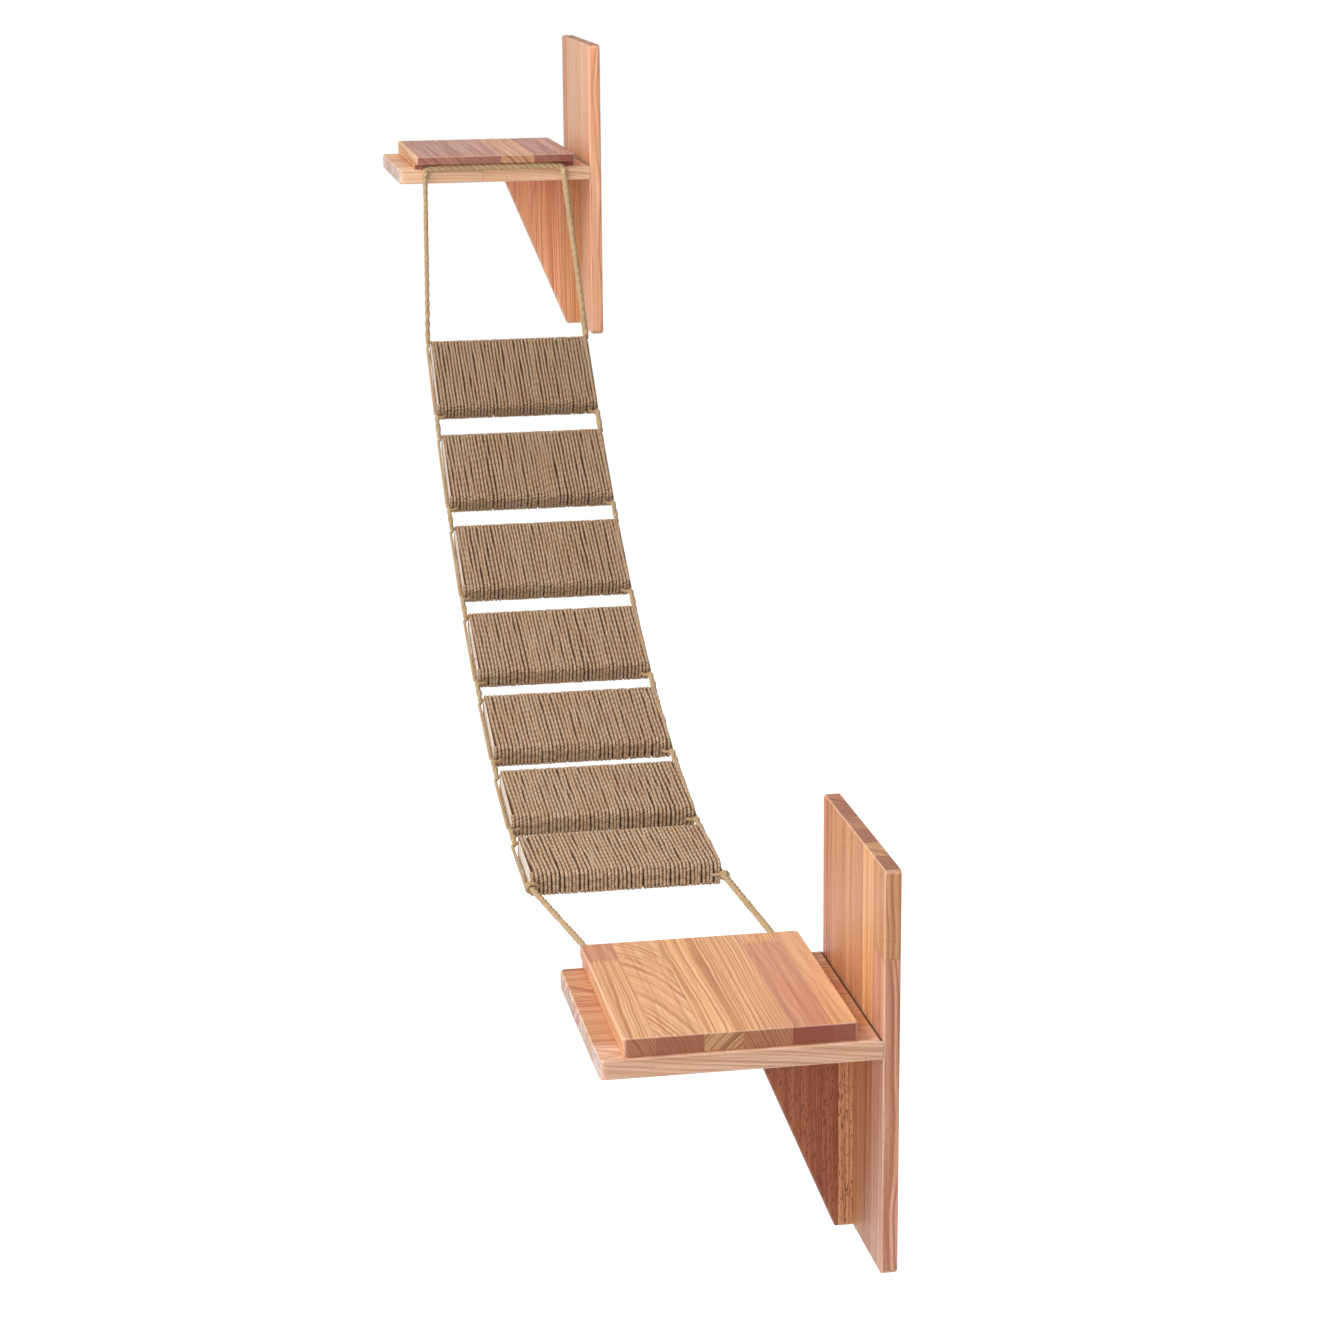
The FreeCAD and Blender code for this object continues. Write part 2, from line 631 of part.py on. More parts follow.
def sweep_tube(edges, diameter):
    """A round tube along a smooth wire, checked against section times length."""
    wire = Part.Wire(edges)
    first = wire.OrderedEdges[0]
    start = wire.OrderedVertexes[0].Point
    at_start = (first.valueAt(first.FirstParameter) - start).Length < (
        first.valueAt(first.LastParameter) - start).Length
    tangent = first.tangentAt(first.FirstParameter if at_start else first.LastParameter)
    section = Part.Wire(Part.makeCircle(diameter / 2, start, tangent))
    tube = wire.makePipeShell([section], True, False)
    expected = math.pi * diameter ** 2 / 4 * wire.Length
    if abs(tube.Volume - expected) > 0.02 * expected:
        raise RuntimeError("tube volume %.1f, expected %.1f" % (tube.Volume, expected))
    return tube, wire


def line_edge(start, end):
    return Part.LineSegment(start, end).toShape()


def arc_edge(centre, start, end, bulge):
    """Arc from start to end about a centre, through the side that bulge points to."""
    radius = (start - centre).Length
    middle = centre + Vector(bulge).normalize() * radius
    return Part.Arc(start, middle, end).toShape()


def rounded_route(points, corner_radius=None):
    """Straight runs joined by arcs, each as large as its two runs allow unless a radius is given."""
    edges = []
    radii = []
    here = points[0]
    for before, corner, after in zip(points, points[1:], points[2:]):
        into = corner - before
        out_of = after - corner
        shorter = min(into.Length, out_of.Length)
        half_turn = into.getAngle(out_of) / 2
        back = Vector(into).normalize()
        ahead = Vector(out_of).normalize()
        reach = ARC_SHARE * shorter if corner_radius is None else corner_radius * math.tan(half_turn)
        radius = reach / math.tan(half_turn)
        radii.append(radius)
        arc_start = corner - back * reach
        arc_end = corner + ahead * reach
        inward = (ahead - back).normalize()
        centre = corner + inward * (radius / math.cos(half_turn))
        edges.append(line_edge(here, arc_start))
        edges.append(arc_edge(centre, arc_start, arc_end, corner - centre))
        here = arc_end
    edges.append(line_edge(here, points[-1]))
    return edges, radii


def add_tube(label, edges, diameter):
    tube, wire = sweep_tube(edges, diameter)
    feature = doc.addObject("Part::Feature", label + "_tube")
    feature.Shape = tube
    print("%s: %.0f mm long" % (label, wire.Length))
    return add_node(feature, label)


# Twine winding: one unbroken tube that crosses the top square, turns down each edge
# and steps to the next loop in a gentle S under the slat


def winding_edges():
    standoff = size("twine_clearance") + size("twine_diameter") / 2
    turn = size("slat_corner") + standoff
    inner_x = size("slat_width") / 2 - size("slat_corner")
    inner_z = size("slat_thickness") / 2 - size("slat_corner")
    outer_x = inner_x + turn
    outer_z = inner_z + turn
    first_y = -size("slat_length") / 2 + size("winding_margin")
    edges = []

    def edge_of_slat(side, y, from_top):
        """Quarter turn, short run and quarter turn round one long edge."""
        start_z = outer_z if from_top else -outer_z
        level = inner_z if from_top else -inner_z
        up = 1 if from_top else -1
        edges.append(arc_edge(Vector(side * inner_x, y, level), Vector(side * inner_x, y, start_z),
                              Vector(side * outer_x, y, level), Vector(side, 0, up)))
        edges.append(line_edge(Vector(side * outer_x, y, level), Vector(side * outer_x, y, -level)))
        edges.append(arc_edge(Vector(side * inner_x, y, -level), Vector(side * outer_x, y, -level),
                              Vector(side * inner_x, y, -start_z), Vector(side, 0, -up)))

    def step_under(y, next_y):
        """Two equal arcs under the slat, from the lower edge back to the upper edge."""
        run = 2 * inner_x
        step = next_y - y
        radius = (run ** 2 + step ** 2) / (4 * step)
        begin = Vector(inner_x, y, -outer_z)
        middle = Vector(0, (y + next_y) / 2, -outer_z)
        finish = Vector(-inner_x, next_y, -outer_z)
        for start, end, side in ((begin, middle, 1), (middle, finish, -1)):
            anchor = begin if side == 1 else finish
            centre = anchor + Vector(0, side * radius, 0)
            edges.append(arc_edge(centre, start, end, (start + end) / 2 - centre))

    tail = size("winding_tail")
    edges.append(line_edge(Vector(-inner_x + tail, first_y, -outer_z), Vector(-inner_x, first_y, -outer_z)))
    for loop in range(WINDING_LOOPS):
        y = first_y + loop * WINDING_PITCH
        edge_of_slat(-1, y, False)
        edges.append(line_edge(Vector(-inner_x, y, outer_z), Vector(inner_x, y, outer_z)))
        edge_of_slat(1, y, True)
        if loop + 1 < WINDING_LOOPS:
            step_under(y, y + WINDING_PITCH)
        else:
            edges.append(line_edge(Vector(inner_x, y, -outer_z), Vector(inner_x - tail, y, -outer_z)))
    return edges


def least_gap(wire, diameter, spacing, skip):
    """Smallest gap between stretches of a wire that lie further apart along it than skip."""
    count = int(wire.Length / spacing)
    points = wire.discretize(Number=count)
    apart = int(skip / spacing)
    nearest = min((a - b).Length
                  for index, a in enumerate(points)
                  for b in points[index + apart:index + 3 * apart])
    return nearest - diameter


def build_windings():
    tube, wire = sweep_tube(winding_edges(), size("twine_diameter"))
    loop_length = 2 * (size("slat_width") + size("slat_thickness"))
    gap = least_gap(wire, size("twine_diameter"), size("twine_diameter"), loop_length / 2)
    print("winding: %.0f mm of twine, least gap to itself %.2f mm" % (wire.Length, gap))
    for index, (start, angle) in enumerate(SLATS):
        label = "slat_%d_winding" % (index + 1)
        feature = doc.addObject("Part::Feature", label + "_tube")
        feature.Shape = tube
        feature.Placement = slat_placement(start, angle)
        add_node(feature, label)


# Ropes: two strands that part at each slat, one outside its end and one through its bore


def strand_route(side, inner):
    """Points of one strand from the upper anchor to the lower anchor; side is -1 left, 1 right."""
    pair = side * (size("strand_diameter") + size("strand_gap")) / 2
    if inner:
        pair = -pair
    anchor_y = LADDER_Y + side * size("rope_anchor_span") / 2
    slat_end = LADDER_Y + side * size("slat_length") / 2
    rope_y = slat_end + side * size("rope_stand_off")
    beside = slat_end + (-side * BORE_INSET if inner else side * size("strand_stand_off"))
    lead = size("strand_lead")
    join = size("strand_join")

    def at(point, y):
        return Vector(point.x, y, point.z)

    points = [at(UPPER_ANCHOR, anchor_y + pair)]
    points.append(at(SLATS[0][0] - TOP_DIRECTION * join, rope_y + pair))
    for index, (start, angle) in enumerate(SLATS):
        slope = downhill(angle)
        leave = start + slope * size("slat_width")
        points.append(at(start - slope * lead, beside))
        points.append(at(leave + slope * lead, beside))
        if index + 1 < SLAT_COUNT:
            following = SLATS[index + 1][0]
            between = (following - leave).normalize()
            points.append(at(leave + between * join, rope_y + pair))
            points.append(at(following - between * join, rope_y + pair))
        else:
            points.append(at(leave + BOTTOM_DIRECTION * join, rope_y + pair))
    points.append(at(LOWER_ANCHOR, anchor_y + pair))
    return points


def build_strand(name, side, inner):
    label = "%s_%s_strand" % (name, "inner" if inner else "outer")
    edges, radii = rounded_route(strand_route(side, inner))
    print("%s radii: %s" % (label, " ".join("%.0f" % radius for radius in radii)))
    return add_tube(label, edges, size("strand_diameter"))


def build_knot(name, side):
    """Rope wrapped round the two strands just below the last slat."""
    wrap = size("knot_wrap_diameter") / 2
    rope_y = LADDER_Y + side * (size("slat_length") / 2 + size("rope_stand_off"))
    anchor_y = LADDER_Y + side * size("rope_anchor_span") / 2
    join = LAST_EDGE + BOTTOM_DIRECTION * size("strand_join")
    join.y = rope_y
    finish = Vector(LOWER_ANCHOR.x, anchor_y, LOWER_ANCHOR.z)
    along = (finish - join).normalize()
    knot = doc.addObject("Part::Torus", name + "_knot_ring")
    knot.setExpression("Radius1", "%sstrand_diameter + %sstrand_gap / 2 + %sknot_clearance"
                       " + %sknot_wrap_diameter / 2" % (D, D, D, D))
    knot.setExpression("Radius2", "%sknot_wrap_diameter / 2" % D)
    knot.Placement = Placement(join + along * (size("knot_from_slat") - size("strand_join") + wrap),
                               Rotation(Vector(0, 0, 1), along))
    return add_node(knot, name + "_knot")


def build_crossbar(unit, anchor, corner):
    """Rope that lies in the rabbet under the tread and comes out at both sides."""
    span = size("rope_anchor_span") / 2
    gap = (corner - anchor).normalize() * size("rope_clearance")
    points = []
    for point, side in ((anchor + gap, -1), (corner, -1), (corner, 1), (anchor + gap, 1)):
        points.append(Vector(point.x, LADDER_Y + side * span, point.z))
    edges, radii = rounded_route(points, size("rope_corner_radius"))
    print("%s_crossbar radii: %s" % (unit, " ".join("%.0f" % radius for radius in radii)))
    return add_tube(unit + "_crossbar", edges, size("rope_diameter"))


for slat_index, (slat_start, slat_angle) in enumerate(SLATS):
    build_slat(slat_index, slat_start, slat_angle)
build_windings()
for rope_name, rope_side in (("left", -1), ("right", 1)):
    build_strand(rope_name, rope_side, False)
    build_strand(rope_name, rope_side, True)
    build_knot(rope_name, rope_side)
build_crossbar("upper", UPPER_ANCHOR, UPPER_CORNER)
build_crossbar("lower", LOWER_ANCHOR, LOWER_CORNER)

doc.recompute()
for item in doc.Objects:
    if "Invalid" in item.State or "Error" in item.State:
        raise RuntimeError("%s did not build: %s" % (item.Label, item.State))
for node in nodes:
    if node.Shape.isNull() or not node.Shape.isValid() or not node.Shape.Solids:
        raise RuntimeError(node.Label + " has no valid solid")

os.makedirs("parts", exist_ok=True)
for node in nodes:
    node.Shape.exportStep("parts/%s.step" % node.Label)
print("%d nodes" % len(nodes))
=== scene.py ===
import math
from collections import namedtuple

import bpy
import numpy as np
from mathutils import Matrix, Vector


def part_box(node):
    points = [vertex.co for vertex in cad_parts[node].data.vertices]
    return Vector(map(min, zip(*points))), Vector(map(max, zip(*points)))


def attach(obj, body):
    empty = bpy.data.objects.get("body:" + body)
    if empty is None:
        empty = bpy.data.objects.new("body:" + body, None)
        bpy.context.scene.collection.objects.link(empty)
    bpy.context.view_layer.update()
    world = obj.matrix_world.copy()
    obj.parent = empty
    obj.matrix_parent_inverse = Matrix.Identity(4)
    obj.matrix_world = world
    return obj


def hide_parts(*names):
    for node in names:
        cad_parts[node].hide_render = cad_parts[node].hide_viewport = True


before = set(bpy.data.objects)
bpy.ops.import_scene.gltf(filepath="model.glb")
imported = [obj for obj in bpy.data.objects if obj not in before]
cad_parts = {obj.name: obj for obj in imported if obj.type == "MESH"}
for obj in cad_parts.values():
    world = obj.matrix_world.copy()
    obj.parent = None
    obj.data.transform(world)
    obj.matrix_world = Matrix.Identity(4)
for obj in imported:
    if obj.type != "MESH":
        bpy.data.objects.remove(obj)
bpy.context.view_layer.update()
RANDOM_SEED = 11
random = np.random.default_rng(RANDOM_SEED)

# Layout of the ladder, in metres in the row frame. "Left" is the side away from the wall.

LADDER_Y = -0.145
UPPER_CORNER = np.array([-1.453, 0.0, 0.4855])
LOWER_CORNER = np.array([-0.116, 0.0, -0.1085])
# The ropes run this far and at this angle from the upper corner to the first slat
TOP_RUN = 0.259
TOP_ANGLE = math.radians(53.7)
# The ladder's ropes begin this far past the crossbars' corners
STUB = 0.016
SLAT_COUNT = 7
SLAT_LENGTH = 0.193
SLAT_WIDTH = 0.100
SLAT_THICKNESS = 0.0175
SLAT_CORNER = 0.003
SLAT_GAP = 0.0465
# Slope of the first slat, and how much less steep each following one is
FIRST_SLOPE = 0.9325
SLOPE_STEP = 0.1407
# A strand's thickness, half the distance between two that run side by side, how far it runs straight
# on past a slat, and how far from a slat the two come together
STRAND = 0.0038
STRAND_PAIR = 0.00175
STRAND_LEAD = 0.005
STRAND_JOIN = 0.008
# The points added beside a corner of a strand lie as far from it as its other neighbour
OUTER_NEAR = 0.0032
INNER_NEAR = 0.0089
# From the slat ends in to the bores and out to the middle of the ropes
BORE_INSET = 0.00735
ROPE_STAND_OFF = 0.0028
SIDES = {"left": -1, "right": 1}
# Where the ropes leave the shelves, and how far the outer strands stand off the slat ends
# from the top down, as the photograph shows them
UPPER_ANCHOR_Y = {"left": -0.228, "right": -0.050}
LOWER_ANCHOR_Y = {"left": -0.225, "right": -0.050}
STAND_OFF = {
    "left": (0.0042, 0.0046, 0.0048, 0.0050, 0.0050, 0.0054, 0.0064),
    "right": (0.0030,) * SLAT_COUNT,
}


def downhill(angle):
    return np.array([math.cos(angle), 0.0, -math.sin(angle)])


def ladder_layout():
    """Upper board edge and slope angle of each slat, from the top down."""
    angles = [math.atan(FIRST_SLOPE - SLOPE_STEP * index) for index in range(SLAT_COUNT)]
    start = UPPER_CORNER + downhill(TOP_ANGLE) * TOP_RUN
    slats = []
    for index, angle in enumerate(angles):
        slats.append((start, angle))
        if index + 1 < SLAT_COUNT:
            between = downhill((angle + angles[index + 1]) / 2)
            start = start + downhill(angle) * SLAT_WIDTH + between * SLAT_GAP
    return slats


SLATS = ladder_layout()
LAST_EDGE = SLATS[-1][0] + downhill(SLATS[-1][1]) * SLAT_WIDTH
TOP_DIRECTION = downhill(TOP_ANGLE)
BOTTOM_DIRECTION = (LOWER_CORNER - LAST_EDGE) / np.linalg.norm(LOWER_CORNER - LAST_EDGE)
UPPER_ANCHOR = UPPER_CORNER + TOP_DIRECTION * STUB
LOWER_ANCHOR = LOWER_CORNER - BOTTOM_DIRECTION * STUB

# Camera at the photograph's viewpoint

FOCAL_PIXELS = 3127.7
PICTURE_PIXELS = 1320
SENSOR_WIDTH = 36
CAMERA_PLACE = Vector((2.5431, -0.6326, 0.8686))
CAMERA_YAW = math.radians(9.981)
CAMERA_PITCH = math.radians(14.459)
CAMERA_ROLL = math.radians(-0.502)


def add_camera():
    flat = math.cos(CAMERA_PITCH)
    ahead = Vector((-flat * math.cos(CAMERA_YAW), flat * math.sin(CAMERA_YAW), -math.sin(CAMERA_PITCH)))
    level = ahead.cross(Vector((0, 0, 1))).normalized()
    upright = level.cross(ahead)
    right = level * math.cos(CAMERA_ROLL) + upright * math.sin(CAMERA_ROLL)
    up = upright * math.cos(CAMERA_ROLL) - level * math.sin(CAMERA_ROLL)
    data = bpy.data.cameras.new("camera")
    data.sensor_width = SENSOR_WIDTH
    data.sensor_fit = "HORIZONTAL"
    data.lens = SENSOR_WIDTH * FOCAL_PIXELS / PICTURE_PIXELS
    camera = bpy.data.objects.new("camera", data)
    turn = Matrix((right, up, -ahead)).transposed().to_4x4()
    camera.matrix_world = Matrix.Translation(CAMERA_PLACE) @ turn
    bpy.context.collection.objects.link(camera)
    bpy.context.scene.camera = camera


add_camera()

# Shader nodes


class Nodes:
    """Short names for making and joining shader nodes."""

    def __init__(self, tree):
        self.tree = tree

    def new(self, kind, **settings):
        node = self.tree.nodes.new(kind)
        for key, setting in settings.items():
            setattr(node, key, setting)
        return node

    def feed(self, socket, source):
        """Join an output to an input, or set a plain number or colour on it."""
        if isinstance(source, bpy.types.NodeSocket):
            self.tree.links.new(source, socket)
        else:
            socket.default_value = source

    def math(self, operation, first, second=0.0, third=0.0):
        node = self.new("ShaderNodeMath", operation=operation)
        for socket, source in zip(node.inputs, (first, second, third)):
            self.feed(socket, source)
        return node.outputs[0]

    def vector(self, x, y, z):
        node = self.new("ShaderNodeCombineXYZ")
        for socket, source in zip(node.inputs, (x, y, z)):
            self.feed(socket, source)
        return node.outputs[0]

    def scaled(self, vector, amounts):
        node = self.new("ShaderNodeVectorMath", operation="MULTIPLY")
        self.feed(node.inputs[0], vector)
        self.feed(node.inputs[1], amounts)
        return node.outputs[0]

    def split(self, vector):
        node = self.new("ShaderNodeSeparateXYZ")
        self.feed(node.inputs[0], vector)
        return node.outputs

    def noise(self, vector, scale=1.0, detail=2.0, roughness=0.5):
        node = self.new("ShaderNodeTexNoise")
        self.feed(node.inputs["Vector"], vector)
        self.feed(node.inputs["Scale"], scale)
        self.feed(node.inputs["Detail"], detail)
        self.feed(node.inputs["Roughness"], roughness)
        return node.outputs["Fac"]

    def blend(self, amount, first, second):
        """Plain number between two numbers."""
        node = self.new("ShaderNodeMix", data_type="FLOAT")
        for socket, source in zip(node.inputs, (amount, None, first, second)):
            if source is not None:
                self.feed(socket, source)
        return node.outputs[0]

    def steps(self, source, places, colours):
        """Colour and alpha that change at once at each place."""
        node = self.new("ShaderNodeValToRGB")
        ramp = node.color_ramp
        ramp.interpolation = "CONSTANT"
        while len(ramp.elements) < len(places):
            ramp.elements.new(1.0)
        while len(ramp.elements) > len(places):
            ramp.elements.remove(ramp.elements[-1])
        for element, place, colour in zip(ramp.elements, places, colours):
            element.position = float(place)
            element.color = colour
        self.feed(node.inputs["Fac"], source)
        return node.outputs["Color"], node.outputs["Alpha"]

    def between(self, source, low, high, out_low=0.0, out_high=1.0, smooth=True):
        """Map a range of values onto another, clamped."""
        node = self.new("ShaderNodeMapRange", clamp=True)
        node.interpolation_type = "SMOOTHSTEP" if smooth else "LINEAR"
        for socket, number in zip(node.inputs, (source, low, high, out_low, out_high)):
            self.feed(socket, number)
        return node.outputs[0]

    def mix(self, amount, first, second, blend="MIX"):
        node = self.new("ShaderNodeMix", data_type="RGBA", blend_type=blend)
        colours = [socket for socket in node.inputs if socket.type == "RGBA"]
        self.feed(node.inputs[0], amount)
        self.feed(colours[0], first)
        self.feed(colours[1], second)
        return [socket for socket in node.outputs if socket.type == "RGBA"][0]

    def seen_directly(self):
        """1 where the camera, a mirror or glass looks straight at a surface."""
        path = self.new("ShaderNodeLightPath")
        seen = self.math("MAXIMUM", path.outputs["Is Camera Ray"], path.outputs["Is Glossy Ray"])
        return self.math("MAXIMUM", seen, path.outputs["Is Transmission Ray"])


class Material(Nodes):
    """The nodes of a new material."""

    def __init__(self, name):
        self.material = bpy.data.materials.new(name)
        self.material.use_nodes = True
        super().__init__(self.material.node_tree)
        self.shader = self.tree.nodes["Principled BSDF"]

    def surface(self, socket_name, source):
        self.feed(self.shader.inputs[socket_name], source)

    def bump(self, height, distance, strength=1.0):
        node = self.new("ShaderNodeBump")
        self.feed(node.inputs["Height"], height)
        self.feed(node.inputs["Distance"], distance)
        self.feed(node.inputs["Strength"], strength)
        self.surface("Normal", node.outputs["Normal"])


def srgb(red, green, blue):
    """A colour written as it looks, 0 to 255, as a linear colour."""
    linear = []
    for part in (red, green, blue):
        share = part / 255
        linear.append(share / 12.92 if share <= 0.04045 else ((share + 0.055) / 1.055) ** 2.4)
    return (*linear, 1.0)


# Wood

# How a piece was cut from the log: where the pith lies from the stave's middle and below the board,
# how far the log leans per metre of length, how wide the growth rings are, and how strongly they show
Cut = namedtuple("Cut", "pith depth lean ring contrast")
CUTS = {
    "cathedral": Cut(0.003, 0.016, 0.11, 0.0040, 0.60),
    "feathered": Cut(-0.050, 0.050, -0.33, 0.0046, 0.74),
    "striped": Cut(0.085, 0.075, 0.012, 0.0046, 0.95),
    "slanted": Cut(-0.085, 0.075, 0.012, 0.0046, 0.95),
    "fine": Cut(-0.110, 0.040, 0.02, 0.0028, 0.80),
    "plain": Cut(0.050, 0.120, 0.03, 0.0040, 0.38),
}
TONES = {
    "light": srgb(254, 212, 176),
    "pale": srgb(242, 200, 172),
    "blush": srgb(236, 182, 156),
    "golden": srgb(246, 194, 138),
    "honey": srgb(241, 188, 140),
    "amber": srgb(221, 166, 122),
    "ruddy": srgb(218, 156, 120),
    "brown": srgb(176, 110, 80),
    "coral": srgb(255, 194, 154),
    "rose": srgb(222, 168, 148),
    "mauve": srgb(208, 150, 130),
}
# Ramp colours hold these ranges as 0 to 1
PITH_RANGE = 0.2
DEPTH_RANGE = 0.2
LEAN_RANGE = 0.4
RING_RANGE = 0.01

# A stave is its width in millimetres with a cut and a tone, and where a finger joint divides it,
# the joint's place as a share of the board's length with the cut and tone of the block before it
Stave = namedtuple("Stave", "width cut tone joint before_cut before_tone", defaults=(0.0, "plain", "pale"))

# Noise drawn out along the grain: cycles per metre along and across it, octaves and their roughness
Grain = namedtuple("Grain", "along across detail roughness", defaults=(0.5,))
WANDER = Grain(5.0, 14.0, 2.0)
FIBRES = Grain(16.0, 800.0, 3.0, 0.6)
PORES = Grain(210.0, 1000.0, 1.0)
CLOUDS = Grain(6.0, 40.0, 2.0)
STREAKS = Grain(3.5, 230.0, 2.0)

# How far apart in that noise staves, boards and the two blocks of a stave lie
STAVE_SHIFT = 0.37
BOARD_SHIFT = 0.19
CHANCE_SPREAD = 3.0
BLOCK_SHIFT = 1.7

# How far rings stray, and noise over the years, in cycles per metre and octaves, for their growth
# and for the strength of their late wood
RING_STRAY = 0.011
GROWTH_NOISE = (150.0, 2.0)
GROWTH_SPREAD = 3.2
STRENGTH_NOISE = (110.0, 1.0)
STRENGTH_SHIFT = 7.0
STRENGTH_RANGE = (0.30, 0.62)
LEAST_STRENGTH = 0.40
# Late wood comes on slowly through a year and ends at once
LATE_RISE = (0.34, 0.85)
LATE_END = (1.0, 0.92)

# Late and warm wood multiply a block's tone
LATE_WOOD = (0.48, 0.27, 0.15, 1.0)
LATE_END_WOOD = (0.36, 0.23, 0.20, 1.0)
WARM_WOOD = (0.92, 0.78, 0.66, 1.0)
CLOUD_RANGE = (0.36, 0.70)
CLOUD_SHARE = 0.55
STREAK_RANGE = (0.42, 0.66)
FIBRE_RANGE = (0.42, 0.74)
FIBRE_SHARE = 0.26
# Pores over a limit are flecks, and the limit is lower in flecked boards
FLECK_LIMIT = 0.69
FLECK_EASING = 0.12
FLECK_EDGE = 0.05
FLECK_COLOUR = srgb(120, 66, 46)

# Finger joints zigzag across a stave, and glue lines fade with the distance from the joint's line
FINGER_HALF_PITCH = 0.0021
FINGER_SLOPE = 3.6
STAVE_LINE = (0.0006, 0.0001)
JOINT_LINE = (0.0009, 0.0002)
GLUE_SHARE = 0.30
GLUE_COLOUR = srgb(140, 82, 56)

# End grain shows on faces turned towards the grain. A strong cut keeps more of its own tone there.
END_FACING = (0.45, 0.85)
END_CONTRAST = (0.65, 0.95)
END_SHARE = (0.90, 0.40)
END_RING_CONTRAST = (0.0, 0.8)
END_RING_SHARE = (0.30, 0.95)
END_PORE_RANGE = (0.44, 0.70)
END_PORE_SHARE = 0.35

# Sanded arrises are paler, and painted shade darkens the rear of a shelf's upper face, where the gap to the
# wall board is in shadow
# The paler arrises are partly wear and partly painted highlight
ARRIS_FACING = (0.97, 0.82)
ARRIS_SHARE = 0.40
ARRIS_WEAR_AND_HIGHLIGHT = srgb(246, 206, 180)
GAP_FROM_REAR = (0.0036, 0.0020)
GAP_FACING = (0.5, 0.9)
GAP_SHADE_COLOUR = srgb(58, 34, 24)

WOOD_ROUGHNESS = (0.40, 0.54)
FIBRE_ROUGHNESS = 0.16
LATE_ROUGHNESS = -0.06
WOOD_SPECULAR = 0.35
FIBRE_HEIGHT = 0.5
LATE_HEIGHT = 0.30
SEAM_DEPTH = 0.9
FLECK_DEPTH = 0.5
WOOD_RELIEF = 0.0002

AXES = "XYZ"


def cut_colour(cut_name):
    """A cut's numbers as the colour and alpha of a ramp."""
    cut = CUTS[cut_name]
    pith = (cut.pith + PITH_RANGE) / (2 * PITH_RANGE)
    return (pith, cut.depth / DEPTH_RANGE, cut.ring / RING_RANGE, cut.contrast)


def tone_colour(tone_name, cut_name):
    """A tone, with the lean of its cut as the alpha."""
    return (*TONES[tone_name][:3], (CUTS[cut_name].lean + LEAN_RANGE) / (2 * LEAN_RANGE))


